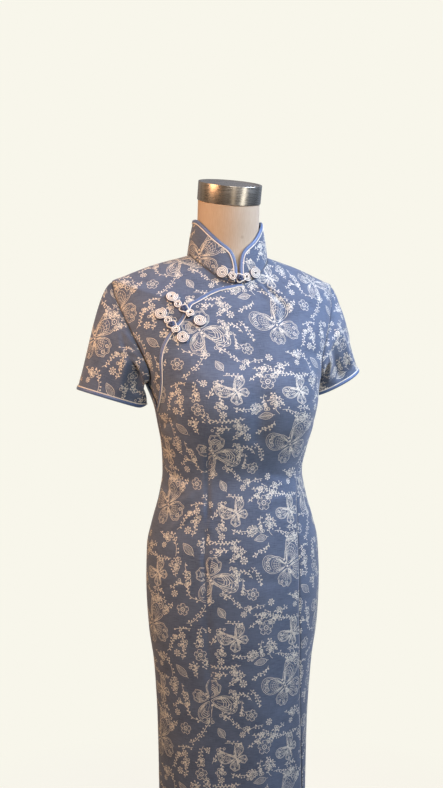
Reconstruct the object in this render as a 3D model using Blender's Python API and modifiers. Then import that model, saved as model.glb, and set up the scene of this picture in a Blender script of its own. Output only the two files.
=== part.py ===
"""Short-sleeved cheongsam on a limbless dress form with a stand.

Metres, +Z up. The garment's front faces -Y, so its left side is at +X. The origin is the centre of the
stand's underside. A point of the body cloth is found from an angle round the body and a level:
    angle  0 at centre front, +90 at the left side, -90 at the right side, 180 at centre back, in degrees
    level  the height of a ring of the cloth; above the underarm the rings rise towards the shoulders
"""

import math

import bmesh
import bpy
import numpy as np
from mathutils import Matrix, Vector

# ---- Driving sizes, in metres ----
CLOTH = 0.0012  # wall of the body cloth with its fusing
SEAM_GAP = 0.0006  # between two pieces at a seam
SHOULDER_GAP = 0.0020  # at the shoulder seams, whose two walls lean towards each other
LAID_ON = 0.0005  # under a piece that lies on another
UNDERLAP_DEPTH = 0.0024  # how far the underlap lies beneath the front's surface

HEM = 0.420
UNDERARM = 1.190
SHOULDER = 1.345
NECK = 1.400

BINDING_WIDTH = 0.0050  # blue bias binding on the garment's edges
BINDING_THICK = 0.0010
PIPING = 0.0016  # white piping beside the binding
TRIM_GAP = 0.0003  # between the binding and its piping
TRIM_SETBACK = 0.0002  # of the binding from the edge it covers

FORM_CLEARANCE = 0.008  # from the cloth's outer face to the dress form
FORM_BOTTOM = 0.800
NECK_RADIUS = 0.0530
NECK_TILT = math.radians(16)  # how far the neck's top plane leans forward
CAP_RADIUS = 0.0545
CAP_HEIGHT = 0.031
CAP_CENTRE = (0.0, 0.0030, 1.5135)
CAP_ROLL = 0.003  # radius of the cap's rolled edges
# The neck above the collar's seam: height, depth, radius and the share of the top's tilt.
NECK_RINGS = (
    (1.4180, 0.0165, 0.0540, 0.35),
    (1.4400, 0.0140, 0.0534, 0.55),
    (1.4700, 0.0100, NECK_RADIUS, 0.80),
    (1.4982, 0.0074, NECK_RADIUS, 1.00),
)

POLE_RADIUS = 0.014
BASE_RADIUS = 0.180
BASE_THICK = 0.014
BASE_ROUND = 0.003
SOCKET_WALL = 0.012
SOCKET_HEIGHT = 0.035
SOCKET_ROUND = 0.002
STAND_GAP = 0.0003  # between the stand's pieces

# Rings of the body cloth. z_*: height at centre front, side and back; y_*: depth there. square: 2 is an
# ellipse, more is fuller at the corners and less is more pointed at the sides.
RING_COLUMNS = (
    "level", "z_front", "z_side", "z_back", "half_width", "y_front", "y_side", "y_back", "square",
)
RINGS = (
    (0.420, 0.420, 0.420, 0.420, 0.1290, -0.122, -0.020, 0.090, 2.00),
    (0.600, 0.600, 0.600, 0.600, 0.1320, -0.126, -0.020, 0.094, 2.00),
    (0.709, 0.709, 0.709, 0.709, 0.1383, -0.131, -0.022, 0.096, 2.00),
    (0.780, 0.780, 0.780, 0.780, 0.1481, -0.134, -0.023, 0.100, 2.00),
    (0.853, 0.853, 0.853, 0.853, 0.1516, -0.136, -0.022, 0.103, 2.00),
    (0.915, 0.915, 0.915, 0.915, 0.1497, -0.131, -0.020, 0.102, 2.00),
    (0.957, 0.957, 0.957, 0.957, 0.1404, -0.126, -0.018, 0.092, 2.00),
    (0.998, 0.998, 0.998, 0.998, 0.1284, -0.119, -0.016, 0.082, 2.05),
    (1.040, 1.040, 1.040, 1.040, 0.1213, -0.112, -0.014, 0.077, 2.10),
    (1.081, 1.081, 1.081, 1.081, 0.1248, -0.120, -0.026, 0.074, 2.15),
    (1.122, 1.122, 1.122, 1.122, 0.1327, -0.128, -0.034, 0.076, 2.20),
    (1.150, 1.150, 1.150, 1.150, 0.1380, -0.130, -0.034, 0.080, 2.25),
    (1.190, 1.190, 1.190, 1.190, 0.1500, -0.126, -0.012, 0.087, 2.35),
    (1.250, 1.238, 1.252, 1.255, 0.1800, -0.108, 0.012, 0.098, 2.35),
    (1.300, 1.277, 1.308, 1.307, 0.1935, -0.092, 0.024, 0.102, 2.05),
    (1.330, 1.299, 1.341, 1.334, 0.1985, -0.081, 0.028, 0.1010, 1.70),
    (1.345, 1.310, 1.360, 1.348, 0.1995, -0.0755, 0.030, 0.0985, 1.55),
    (1.355, 1.318, 1.370, 1.359, 0.1780, -0.0715, 0.029, 0.0955, 1.55),
    (1.375, 1.334, 1.389, 1.383, 0.1295, -0.0625, 0.025, 0.0875, 1.70),
    (1.400, 1.356, 1.4055, 1.412, 0.0700, -0.0500, 0.0165, 0.077, 2.00),
)

# The bust: one soft swelling on each side of the front, shaped by the side and waist darts.
BUST_RISE = 0.018
BUST_CENTRE = (0.078, 1.152)
BUST_SPREAD = (0.040, 0.046)
BUST_BRIDGE = 0.085  # the spread between the two, where the cloth spans the hollow
BUST_FRONT = 2.0  # how fast the swelling fades towards the sides

# Where the side seams run, in degrees round the body. Below the waist the skirt is turned on the form.
SEAM_COLUMNS = ("level", "left", "right")
SEAMS = (
    (0.420, 56.0, -112.0),
    (0.600, 48.0, -113.0),
    (0.727, 39.5, -114.0),
    (0.833, 33.5, -113.0),
    (0.915, 34.0, -109.0),
    (0.995, 43.0, -103.0),
    (1.050, 55.0, -97.0),
    (1.085, 72.0, -92.0),
    (1.120, 88.0, -90.0),
    (1.190, 90.0, -90.0),
)
SLIT_TOP = 0.580  # the side seams are open below this
SLIT_GAP = 0.0030

ARMHOLE_BACK = 24.0  # how far the armholes reach from the side towards the back, in degrees
ARMHOLE_FRONT = {"right": 21.0, "left": 38.0}  # and towards the front
ARMHOLE_SKEW = 0.62  # below 1, an armhole is widest nearer the underarm
ARMHOLE_FULLNESS = 0.9  # below 1, it is wide over more of its height

# The levels of a body panel's rows: wide apart in the skirt and close at the armholes, opening and neck.
PANEL_ROWS = (
    (HEM, SLIT_TOP - 0.001, 3),
    (SLIT_TOP + 0.004, 0.95, 7),
    (0.985, 1.105, 4),
    (1.124, UNDERARM, 7),
    (1.210, 1.330, 6),
)
SHOULDER_ROWS = (SHOULDER, 1.357, 1.371, 1.383, 1.392, NECK)
FRONT_COLUMNS, UNDERLAP_COLUMNS, BACK_COLUMNS = 22, 13, 16

# The curved opening, from centre front at the neck to the right side seam below the arm.
OPENING_COLUMNS = ("level", "angle")
OPENING = (
    (1.140, -93.0),
    (1.150, -88.0),
    (1.175, -72.0),
    (1.206, -60.6),
    (1.238, -51.2),
    (1.263, -44.5),
    (1.286, -38.5),
    (1.302, -35.0),
    (1.328, -29.4),
    (1.358, -25.2),
    (1.380, -22.6),
    (1.390, -15.0),
    (1.397, -5.5),
    (1.400, -1.9),
)
UNDERLAP_BOTTOM = 1.100
UNDERLAP_REACH = 13.0  # how far the underlap runs on beneath the front, in degrees
UNDERLAP_NARROWS = 0.030  # below the neck, over which it comes to run on by that much
UNDERLAP_SINKS = 28.0  # from the side, in degrees, over which it goes down to its depth
UNDERLAP_RISES = (1.250, 1.300)  # the levels between which it comes up at the armhole
OPENING_ROWS = ((1.150, 1.360, 30), (1.366, 1.3986, 15))  # levels and counts of the trim's points
OPENING_SETBACK = 0.0004

# Collar
COLLAR_HEIGHT = (0.057, 0.060, 0.064)  # beside the front corner, at the side and at the back
COLLAR_LEAN = 0.0110  # how far its top comes in
COLLAR_FRONT = 1.9  # its front edges stand this many degrees from centre front
COLLAR_CORNER = 28.0  # how many degrees its rounded front corner takes
COLLAR_STRAIGHT = 0.35  # the share of its height that the front edge rises before the corner
COLLAR_SQUARE = 4  # the corner's roundness: 2 is an ellipse and more is squarer

# Sleeves: the hem's centre, its tilt from level, half its width and half its depth.
SLEEVE_COLUMNS = ("name", "side", "hem_x", "hem_y", "hem_z", "tilt", "half_width", "half_depth")
SLEEVE_SHARES = (0, 0.10, 0.22, 0.36, 0.52, 0.70, 0.86, 1.0)
SLEEVE_TURNS = 24
SLEEVE_LIFT = 0.0004  # of the crown over the armhole's edge
CROWN_PULL = (0.075, 0.035)  # how strongly the crown leaves the armhole outwards and downwards
UNDERARM_PULL = (0.064, 0.026)
FORWARD_PULL = 0.050
SLEEVES = (
    ("right", -1, 0.2040, 0.021, 1.1620, 17.5, 0.0585, 0.046),
    ("left", 1, 0.2030, 0.030, 1.1810, 26.0, 0.0570, 0.046),
)

# Frog fasteners. Each coil is (side, size, its share of the way from one large coil to the other, radius).
FROG_THICK = 0.0052
FROG_HOLE = 0.0011
COIL_SIDES = 14
COIL_ROUND = 0.0011  # of the coil's outer edges
KNOT_RADIUS = 0.0032
KNOT_SHARE = 0.50
LOOP_RADIUS = 0.0042  # of the cord loop round the knot
LOOP_CORD = 0.0006
FROG_COILS = (
    ("right", "large", 0.00, 0.0090),
    ("right", "small", 0.29, 0.0064),
    ("left", "small", 0.71, 0.0064),
    ("left", "large", 1.00, 0.0090),
)
# The two on the opening: the angles and levels of their right and left large coils.
FROG_COLUMNS = ("name", "right_angle", "right_level", "left_angle", "left_level")
OPENING_FROGS = (("upper", -36.5, 1.3497, -22.9, 1.3129), ("lower", -43.4, 1.3138, -31.6, 1.2773))
NECK_FROG = 0.059  # the length of the one at the neck
NECK_FROG_RISE = (0.0072, 0.0090)  # how far its small and its large coils stand above the collar's seam


# ---- Curves and surfaces ----
def column(table, columns, name):
    """One named column of a table."""
    return np.array([row[columns.index(name)] for row in table], float)


def smooth(knots, values, at):
    """The smooth curve through a table's points that never overshoots them."""
    step = np.diff(knots)
    rise = np.diff(values) / step
    slope = np.zeros(len(knots))
    slope[0], slope[-1] = rise[0], rise[-1]
    before, after = rise[:-1], rise[1:]
    same_way = before * after > 0
    slope[1:-1][same_way] = 2 * (before * after)[same_way] / (before + after)[same_way]
    at = np.asarray(at, float)
    i = np.clip(np.searchsorted(knots, at) - 1, 0, len(step) - 1)
    t = (at - knots[i]) / step[i]
    near = (1 + 2 * t) * (1 - t) ** 2 * values[i] + t * (1 - t) ** 2 * step[i] * slope[i]
    far = t * t * (3 - 2 * t) * values[i + 1] + t * t * (t - 1) * step[i] * slope[i + 1]
    return near + far


def ring_value(name, level):
    return smooth(column(RINGS, RING_COLUMNS, "level"), column(RINGS, RING_COLUMNS, name), level)


def ease(t):
    """0 to 1 with a soft start and end."""
    t = np.clip(t, 0, 1)
    return t * t * (3 - 2 * t)


def body(angle, level, inset=0.0):
    """Points of the body cloth's outer face, or of a smaller body inside it, as an array of x, y, z."""
    angle, level = np.broadcast_arrays(np.asarray(angle, float), np.asarray(level, float))
    turn = np.radians(angle)
    across, along = np.sin(turn), np.cos(turn)
    square = ring_value("square", level)
    power_x, power_y = 2 / np.maximum(square, 2), 2 / square
    front = along > 0
    y_side = ring_value("y_side", level)
    y_end = np.where(front, ring_value("y_front", level) + inset, ring_value("y_back", level) - inset)
    x = (ring_value("half_width", level) - inset) * np.sign(across) * np.abs(across) ** power_x
    y = y_side + (y_end - y_side) * np.abs(along) ** power_y
    z_side = ring_value("z_side", level)
    z_end = np.where(front, ring_value("z_front", level), ring_value("z_back", level))
    z = z_side + (z_end - z_side) * along**2
    z = z - inset * ease((level - UNDERARM) / (NECK - UNDERARM))
    beside = np.abs(x) - BUST_CENTRE[0]
    spread = np.where(beside > 0, BUST_SPREAD[0], BUST_BRIDGE)
    away = (beside / spread) ** 2 + ((z - BUST_CENTRE[1]) / BUST_SPREAD[1]) ** 2
    swelling = BUST_RISE * np.exp(-away / 2) * np.minimum(1, along * BUST_FRONT)
    y = y - np.where(front, swelling, 0)
    return np.stack([x, y, z], axis=-1)


def unit(v):
    return v / np.linalg.norm(v, axis=-1, keepdims=True)


def body_normal(angle, level):
    """The body cloth's outward direction."""
    nudge_angle, nudge_level = 0.5, 0.001
    round_it = body(np.asarray(angle) + nudge_angle, level) - body(np.asarray(angle) - nudge_angle, level)
    low = np.maximum(np.asarray(level) - nudge_level, HEM)
    high = np.minimum(np.asarray(level) + nudge_level, NECK)
    up = body(angle, high) - body(angle, low)
    return unit(np.cross(round_it, up))


def seam_angle(side, level):
    """Where the left or right side seam, armhole-to-shoulder line included, runs at a level."""
    levels, angles = (column(SEAMS, SEAM_COLUMNS, c) for c in ("level", side))
    return smooth(levels, angles, np.minimum(level, UNDERARM))


def gap_angle(level, gap):
    """The angle that a gap takes up at the side of the body, where the upper rings are more pointed."""
    depth = (ring_value("y_back", level) - ring_value("y_front", level)) / 2
    upper = (gap / depth) ** (ring_value("square", level) / 2)
    lower = gap / ring_value("half_width", level)
    return np.degrees(np.where(np.asarray(level) > UNDERARM, upper, lower))


def armhole_reach(level, most):
    """How far an armhole's edge is from the side, in degrees; nought below and above the armhole."""
    share = np.clip((np.asarray(level, float) - UNDERARM) / (SHOULDER - UNDERARM), 0, 1)
    return most * np.sin(math.pi * share**ARMHOLE_SKEW) ** ARMHOLE_FULLNESS


def side_edge(side, level, reach, towards_front):
    """A body panel's edge at one side: its seam, slit, armhole and shoulder seam, set back for the gap."""
    sign = 1 if side == "left" else -1
    level = np.asarray(level, float)
    gap = np.select([level < SLIT_TOP, level < SHOULDER], [SLIT_GAP, SEAM_GAP], SHOULDER_GAP) / 2
    setback = armhole_reach(level, reach) + gap_angle(level, gap)
    return seam_angle(side, level) - sign * setback * (1 if towards_front else -1)


def opening_angle(level):
    levels, angles = (column(OPENING, OPENING_COLUMNS, c) for c in OPENING_COLUMNS)
    return smooth(levels, angles, np.clip(level, levels[0], levels[-1]))


# ---- Meshes ----
def material(name, colour, roughness, metallic=0.0):
    made = bpy.data.materials.get(name) or bpy.data.materials.new(name)
    made.use_nodes = True
    shader = made.node_tree.nodes["Principled BSDF"]
    shader.inputs["Base Color"].default_value = (*colour, 1.0)
    shader.inputs["Roughness"].default_value = roughness
    shader.inputs["Metallic"].default_value = metallic
    return made


def new_object(name, mesh_maker, finish):
    """An object of the part from what mesh_maker builds in an empty bmesh."""
    shape = bmesh.new()
    mesh_maker(shape)
    mesh = bpy.data.meshes.new(name)
    shape.to_mesh(mesh)
    shape.free()
    mesh.shade_smooth()
    mesh.set_sharp_from_angle(angle=math.radians(40))
    made = bpy.data.objects.new(name, mesh)
    made.data.materials.append(finish)
    bpy.data.collections[COLLECTION].objects.link(made)
    return made


def add_grid(shape, points, closed=False):
    """Faces over an array of rows and columns of points, facing away from the body."""
    rows = [[shape.verts.new(p) for p in row] for row in points]
    for lower, upper in zip(rows, rows[1:]):
        last = len(lower) if closed else len(lower) - 1
        for k in range(last):
            n = (k + 1) % len(lower)
            shape.faces.new((lower[k], lower[n], upper[n], upper[k]))


def cloth_panel(name, points, closed=False):
    """A cloth wall whose outer face goes through the points.

    Rows go up and columns go anticlockwise, seen from above.
    """
    made = new_object(name, lambda shape: add_grid(shape, points, closed), FIGURED)
    wall = made.modifiers.new("Cloth wall", "SOLIDIFY")
    wall.thickness = CLOTH
    wall.offset = -1
    wall.use_even_offset = True


def loft(shape, sections, closed=False):
    """A solid through equal sections: a ring if closed, or else with flat ends."""
    rings = [[shape.verts.new(p) for p in section] for section in sections]
    pairs = list(zip(rings, rings[1:] + rings[:1])) if closed else list(zip(rings, rings[1:]))
    for a, b in pairs:
        for k in range(len(a)):
            n = (k + 1) % len(a)
            shape.faces.new((a[k], a[n], b[n], b[k]))
    if not closed:
        shape.faces.new(rings[0])
        shape.faces.new(list(reversed(rings[-1])))
    bmesh.ops.recalc_face_normals(shape, faces=shape.faces)


def strip(name, edge, inward, outward, offset, width, thick, finish, closed=False):
    """A band of binding laid on the cloth beside an edge; inward and outward are its line's directions."""
    near = edge + inward * offset
    far = edge + inward * (offset + width)
    low, high = outward * LAID_ON, outward * (LAID_ON + thick)
    sections = np.stack([near + low, near + high, far + high, far + low], axis=1)
    return new_object(name, lambda shape: loft(shape, sections, closed), finish)


def cord_strip(name, edge, inward, outward, offset, finish, closed=False, sides=5):
    """A thin round piping laid beside a binding."""
    radius = PIPING / 2
    centre = edge + inward * (offset + radius) + outward * (LAID_ON + radius)
    turns = [2 * math.pi * k / sides for k in range(sides)]
    ring = [inward * (radius * math.cos(t)) + outward * (radius * math.sin(t)) for t in turns]
    sections = np.stack([centre + r for r in ring], axis=1)
    return new_object(name, lambda shape: loft(shape, sections, closed), finish)


def trimmed_edge(name, edge, inward, outward, closed=False, setback=0.0):
    """The blue binding along an edge and the white piping inside it."""
    strip(f"{name}_binding", edge, inward, outward, setback, BINDING_WIDTH, BINDING_THICK, BLUE, closed)
    beyond = setback + BINDING_WIDTH + TRIM_GAP
    cord_strip(f"{name}_piping", edge, inward, outward, beyond, WHITE, closed)


def across(edge, outward):
    """Across an edge to the right of its direction, seen from outside, for each point of its line."""
    return unit(np.cross(np.gradient(edge, axis=0), outward))


# ---- The garment ----
def panel_points(levels, left_angles, right_angles, count, inset=None):
    """Rows of points from a panel's right edge to its left edge at each level."""
    share = np.linspace(0, 1, count)
    angle = right_angles[:, None] + (left_angles - right_angles)[:, None] * share
    level = np.broadcast_to(levels[:, None], angle.shape)
    points = body(angle, level)
    if inset is not None:
        points = points - body_normal(angle, level) * inset(angle, level)[..., None]
    return points


def body_levels(bottom):
    """The levels of a panel's rows from its bottom edge up."""
    levels = np.concatenate([np.linspace(*row) for row in PANEL_ROWS] + [SHOULDER_ROWS])
    return levels[levels >= bottom - 1e-9]


def make_front():
    """The front: from the left side round to the opening's edge and, below that, the right side seam."""
    levels = body_levels(HEM)
    left = side_edge("left", levels, ARMHOLE_FRONT["left"], True)
    side = side_edge("right", levels, 0.0, True)
    right = np.where(levels < OPENING[0][0], side, np.maximum(opening_angle(levels), side))
    cloth_panel("front", panel_points(levels, left, right, FRONT_COLUMNS))


def underlap_inset(angle, level):
    """The underlap lies under the front and comes up level with it at the shoulder and upper armhole."""
    low_level, high_level = UNDERLAP_RISES
    from_side = ease((angle + 90) / UNDERLAP_SINKS)
    low = ease((high_level - level) / (high_level - low_level))
    return UNDERLAP_DEPTH * np.maximum(from_side, low)


def make_underlap():
    """The right chest piece, which the front's curved edge laps over."""
    levels = body_levels(UNDERLAP_BOTTOM)
    right = side_edge("right", levels, ARMHOLE_FRONT["right"], True)
    reach = UNDERLAP_REACH * ease((NECK - levels) / UNDERLAP_NARROWS)
    left = np.minimum(opening_angle(levels) + reach, -COLLAR_FRONT)
    cloth_panel("underlap", panel_points(levels, left, right, UNDERLAP_COLUMNS, underlap_inset))


def make_back():
    levels = body_levels(HEM)
    left = side_edge("left", levels, ARMHOLE_BACK, False)
    right = side_edge("right", levels, ARMHOLE_BACK, False) + 360
    cloth_panel("back", panel_points(levels, right, left, BACK_COLUMNS))


def collar_height(angle):
    """The stand collar's height: a rounded front corner, then rising to the side and back."""
    away = np.abs(angle)
    corner, side, back = COLLAR_HEIGHT
    turn = np.radians(np.minimum(away, 90))
    in_front = corner + (side - corner) * np.sin(turn) ** 2
    behind = side + (back - side) * (away - 90) / 90
    plain = np.where(away < 90, in_front, behind)
    into_corner = np.clip((away - COLLAR_FRONT) / COLLAR_CORNER, 0, 1)
    rounded = (1 - (1 - into_corner) ** COLLAR_SQUARE) ** (2 / COLLAR_SQUARE)
    return plain * (COLLAR_STRAIGHT + (1 - COLLAR_STRAIGHT) * rounded)


def collar(angle, rise):
    """Points of the collar's outer face, rise metres above the neckline."""
    angle, rise = np.broadcast_arrays(np.asarray(angle, float), np.asarray(rise, float))
    base = body(angle, NECK)
    lean = COLLAR_LEAN * rise / COLLAR_HEIGHT[1]
    inwards = unit(base * np.array([1.0, 1.0, 0.0]))
    return base + np.array([0, 0, 1.0]) * (rise + SEAM_GAP)[..., None] - inwards * lean[..., None]


def collar_normal(angle, rise):
    round_it = collar(np.asarray(angle) + 0.5, rise) - collar(np.asarray(angle) - 0.5, rise)
    up = collar(angle, np.asarray(rise) + 0.001) - collar(angle, rise)
    return unit(np.cross(round_it, up))


def make_collar():
    """A stand collar, open at centre front, with its binding and piping along the top and front edges."""
    corner = COLLAR_FRONT + COLLAR_CORNER
    near = COLLAR_FRONT + COLLAR_CORNER * (1 - np.cos(np.linspace(0, math.pi / 2, 7)))
    right_way = np.concatenate([near, np.linspace(corner, 180, 13)[1:]])
    angles = np.concatenate([right_way, 360 - right_way[:-1][::-1]])
    signed = np.where(angles > 180, angles - 360, angles)
    shares = np.linspace(0, 1, 5)
    rise = collar_height(signed)[None, :] * shares[:, None]
    points = collar(np.broadcast_to(signed, rise.shape), rise)
    cloth_panel("collar", points)

    # The trim goes up the front edge, round the corner and along the top to the centre back.
    front_edge = np.linspace(0.0015, collar_height(COLLAR_FRONT) * 0.7, 2)
    into_corner = 1 - np.cos(np.linspace(0.1, math.pi / 2, 12))
    top = np.concatenate([COLLAR_FRONT + COLLAR_CORNER * into_corner, np.linspace(corner, 180, 22)[1:]])
    half_angle = np.concatenate([np.full(2, COLLAR_FRONT), top])
    half_height = np.concatenate([front_edge, collar_height(top)])
    angle = np.concatenate([half_angle, -half_angle[:-1][::-1]])
    height = np.concatenate([half_height, half_height[:-1][::-1]])
    edge = collar(angle, height)
    outward = collar_normal(angle, height)
    inward = across(edge, outward)
    trimmed_edge("collar", edge, inward, outward, setback=TRIM_SETBACK)


def opening_edge(levels):
    """The line of the front's curved edge and its outward and inward directions."""
    angle = opening_angle(levels)
    edge = body(angle, levels)
    outward = body_normal(angle, levels)
    inward = across(edge, outward)
    return edge, inward, outward


def make_opening_trim():
    levels = np.concatenate([np.linspace(*row) for row in OPENING_ROWS])
    edge, inward, outward = opening_edge(levels)
    trimmed_edge("opening", edge, inward, outward, setback=OPENING_SETBACK)


def hermite(start, start_pull, end, end_pull, share):
    t = share
    return (start * (1 + 2 * t) * (1 - t) ** 2 + start_pull * t * (1 - t) ** 2
            + end * t * t * (3 - 2 * t) + end_pull * t * t * (t - 1))


def sleeve(row, turn, share):
    """Points of a sleeve's outer face. turn: 0 at the top, 90 at the front, 180 at the underarm and 270
    at the back. share: 0 at the armhole and 1 at the hem.
    """
    size = dict(zip(SLEEVE_COLUMNS, row))
    side = "left" if size["side"] > 0 else "right"
    turn, share = np.broadcast_arrays(np.asarray(turn, float) % 360, np.asarray(share, float))
    in_front = turn <= 180
    down = np.where(in_front, turn, 360 - turn) / 180
    level = SHOULDER + (UNDERARM - SHOULDER) * down
    reach = armhole_reach(level, np.where(in_front, ARMHOLE_FRONT[side], ARMHOLE_BACK))
    setback = np.maximum(reach - gap_angle(level, SEAM_GAP), 0)
    angle = seam_angle(side, level) - size["side"] * setback * np.where(in_front, 1, -1)
    start = body(angle, level)
    start[..., 0] += size["side"] * (SEAM_GAP + SLEEVE_LIFT)
    start[..., 2] += SLEEVE_LIFT * np.cos(np.radians(turn))

    tilt = math.radians(size["tilt"])
    across = np.array([size["side"] * math.cos(tilt), 0, math.sin(tilt)])
    forward = np.array([0, -1.0, 0])
    down_arm = np.array([size["side"] * math.sin(tilt), 0, -math.cos(tilt)])
    centre = np.array([size["side"] * size["hem_x"], size["hem_y"], size["hem_z"]])
    cos, sin = np.cos(np.radians(turn))[..., None], np.sin(np.radians(turn))[..., None]
    end = centre + across * size["half_width"] * cos + forward * size["half_depth"] * sin

    # The crown leaves the armhole outwards and the underarm leaves it more downwards.
    topness = ((1 + cos) / 2) ** 1.5
    out, down = np.array([size["side"], 0, 0]), np.array([0, 0, -1.0])
    crown_pull = out * CROWN_PULL[0] + down * CROWN_PULL[1]
    underarm_pull = out * UNDERARM_PULL[0] + down * UNDERARM_PULL[1]
    start_pull = crown_pull * topness + underarm_pull * (1 - topness) + forward * FORWARD_PULL * sin
    length = np.linalg.norm(end - start, axis=-1, keepdims=True)
    return hermite(start, start_pull, end, down_arm * length, share[..., None])


def make_sleeves():
    turns = np.linspace(0, 360, SLEEVE_TURNS, endpoint=False)
    shares = np.array(SLEEVE_SHARES)
    for row in SLEEVES:
        name, side = row[0], row[1]
        points = sleeve(row, turns[None, :], shares[:, None])
        if side > 0:
            points = points[:, ::-1]
        # Rows go down from the armhole, so the columns are turned round to keep the faces outwards.
        cloth_panel(f"sleeve_{name}", points[::-1, :], closed=True)

        fine = np.linspace(0, 360, 2 * SLEEVE_TURNS, endpoint=False)
        edge = sleeve(row, fine, shares[-1])
        above = sleeve(row, fine, shares[-2])
        inward = unit(above - edge)
        outward = unit(np.cross(np.roll(edge, -1, axis=0) - np.roll(edge, 1, axis=0), inward))
        centre = edge.mean(axis=0)
        outward = outward * np.sign(((edge - centre) * outward).sum(axis=-1, keepdims=True))
        trimmed_edge(f"sleeve_{name}", edge, inward, outward, closed=True, setback=TRIM_SETBACK)


# ---- Frog fasteners ----
def turned(name, profile, steps, place, finish):
    """A turned solid from a profile of (radius, height), standing on its place's Z axis."""
    made = new_object(name, lambda shape: add_profile(shape, profile), finish)
    turn = made.modifiers.new("Turned", "SCREW")
    turn.steps = turn.render_steps = steps
    turn.use_merge_vertices = True
    turn.merge_threshold = 0.00005
    turn.use_smooth_shade = True
    made.matrix_world = place
    return made


def add_profile(shape, profile):
    points = [shape.verts.new((r, 0, z)) for r, z in profile]
    for a, b in zip(points, points[1:] + points[:1]):
        shape.edges.new((a, b))


def coil_profile(radius):
    """A rolled cord coil's section from its small eye over the top and down its outer side."""
    foot = COIL_ROUND * 0.6
    return (
        (FROG_HOLE, FROG_THICK * 0.9),
        (radius - COIL_ROUND, FROG_THICK),
        (radius, FROG_THICK - COIL_ROUND),
        (radius, foot),
        (radius - foot, 0),
        (FROG_HOLE, 0),
    )


def placed(point, outward, along):
    """A matrix that stands a piece on the cloth: Z outwards and X along the fastener."""
    z = Vector(outward).normalized()
    x = (Vector(along) - Vector(along).project(z)).normalized()
    made = Matrix((x, z.cross(x), z)).transposed().to_4x4()
    made.translation = Vector(point)
    return made


def knot(name, place, finish):
    """The ball knot in the middle of a fastener."""
    made = new_object(name, lambda shape: bmesh.ops.create_uvsphere(
        shape, u_segments=10, v_segments=6, radius=KNOT_RADIUS), finish)
    made.matrix_world = place


def loop(name, place, finish):
    """The cord loop that holds the knot."""
    rings = []
    for turn in np.linspace(0, 2 * math.pi, 12, endpoint=False):
        ring = []
        for round_cord in np.linspace(0, 2 * math.pi, 4, endpoint=False):
            reach = LOOP_RADIUS + LOOP_CORD * math.cos(round_cord)
            height = LOOP_CORD * math.sin(round_cord)
            ring.append((math.cos(turn) * reach, math.sin(turn) * reach, height))
        rings.append(ring)
    made = new_object(name, lambda shape: loft(shape, rings, closed=True), finish)
    made.matrix_world = place


def make_frog(name, surface, under):
    """A fastener's coils and knot: surface(share) gives a point of its line and the way out there."""

    def stand(share, lift):
        point, outward = surface(share)
        ahead, _ = surface(share + 0.01)
        return placed(point + outward * lift, outward, ahead - point)

    for side, size, share, radius in FROG_COILS:
        place = stand(share, LAID_ON + under(side, size))
        turned(f"frog_{name}_{side}_{size}_coil", coil_profile(radius), COIL_SIDES, place, COIL)
    lift = PIPING + LAID_ON * 2 + KNOT_RADIUS
    knot(f"frog_{name}_knot", stand(KNOT_SHARE, lift), BLUE)
    loop(f"frog_{name}_loop", stand(KNOT_SHARE, lift), COIL)


def make_opening_frogs():
    """The right coils lie on the underlap and the left ones on the front, the nearer over the trim."""

    def under(side, size):
        if side == "right":
            return -UNDERLAP_DEPTH
        return PIPING + LAID_ON if size == "small" else 0.0

    for row in OPENING_FROGS:
        frog = dict(zip(FROG_COLUMNS, row))

        def surface(share, frog=frog):
            angle = frog["right_angle"] + (frog["left_angle"] - frog["right_angle"]) * share
            level = frog["right_level"] + (frog["left_level"] - frog["right_level"]) * share
            return body(angle, level), body_normal(angle, level)

        make_frog(frog["name"], surface, under)


def make_neck_frog():
    """The fastener where the collar meets the front, its coils on the collar just above the seam."""

    def surface(share):
        distance = (share - 0.5) * NECK_FROG
        low, high = NECK_FROG_RISE
        rise = low + (high - low) * 2 * abs(share - 0.5)
        angle = math.degrees(distance / ring_value("half_width", NECK))
        return collar(angle, rise), collar_normal(angle, rise)

    make_frog("neck", surface, lambda side, size: PIPING + LAID_ON if size == "small" else 0.0)


# ---- The dress form and its stand ----
def neck_ring(z, y, radius, tilt, count):
    turns = np.linspace(0, 2 * math.pi, count, endpoint=False)
    x, away = np.sin(turns) * radius, -np.cos(turns) * radius
    return np.stack([x, y + away * math.cos(tilt), z + away * math.sin(tilt)], axis=-1)


def make_form():
    """The torso inside the dress, limbless and smooth, with its neck."""
    count = 28
    angles = np.linspace(0, 360, count, endpoint=False)
    levels = np.concatenate([
        np.linspace(FORM_BOTTOM, 1.0, 6),
        np.linspace(1.04, UNDERARM, 5),
        [1.22, 1.25, 1.28, 1.306, 1.33],
        SHOULDER_ROWS,
    ])
    rings = [body(angles, level, FORM_CLEARANCE) for level in levels]
    rings += [neck_ring(z, y, radius, tilt * NECK_TILT, count) for z, y, radius, tilt in NECK_RINGS]
    rings = [ring[::-1] for ring in rings]
    new_object("form_torso", lambda shape: loft(shape, rings), LINEN)


def make_cap():
    """The steel cap on the neck."""
    made = new_object("form_neck_cap", lambda shape: bmesh.ops.create_cone(
        shape, cap_ends=True, segments=40, radius1=CAP_RADIUS, radius2=CAP_RADIUS, depth=CAP_HEIGHT), STEEL)
    made.rotation_euler = (NECK_TILT, 0, 0)
    made.location = CAP_CENTRE
    edge = made.modifiers.new("Rolled edge", "BEVEL")
    edge.width = CAP_ROLL
    edge.segments = 2
    edge.limit_method = "ANGLE"


def cylinder(name, radius, low, high, segments, finish, bevel=0.0):
    made = new_object(name, lambda shape: bmesh.ops.create_cone(
        shape, cap_ends=True, segments=segments, radius1=radius, radius2=radius, depth=high - low), finish)
    made.location = (0, 0, (low + high) / 2)
    if bevel:
        edge = made.modifiers.new("Rounded edge", "BEVEL")
        edge.width = bevel
        edge.segments = 2
        edge.limit_method = "ANGLE"


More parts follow.
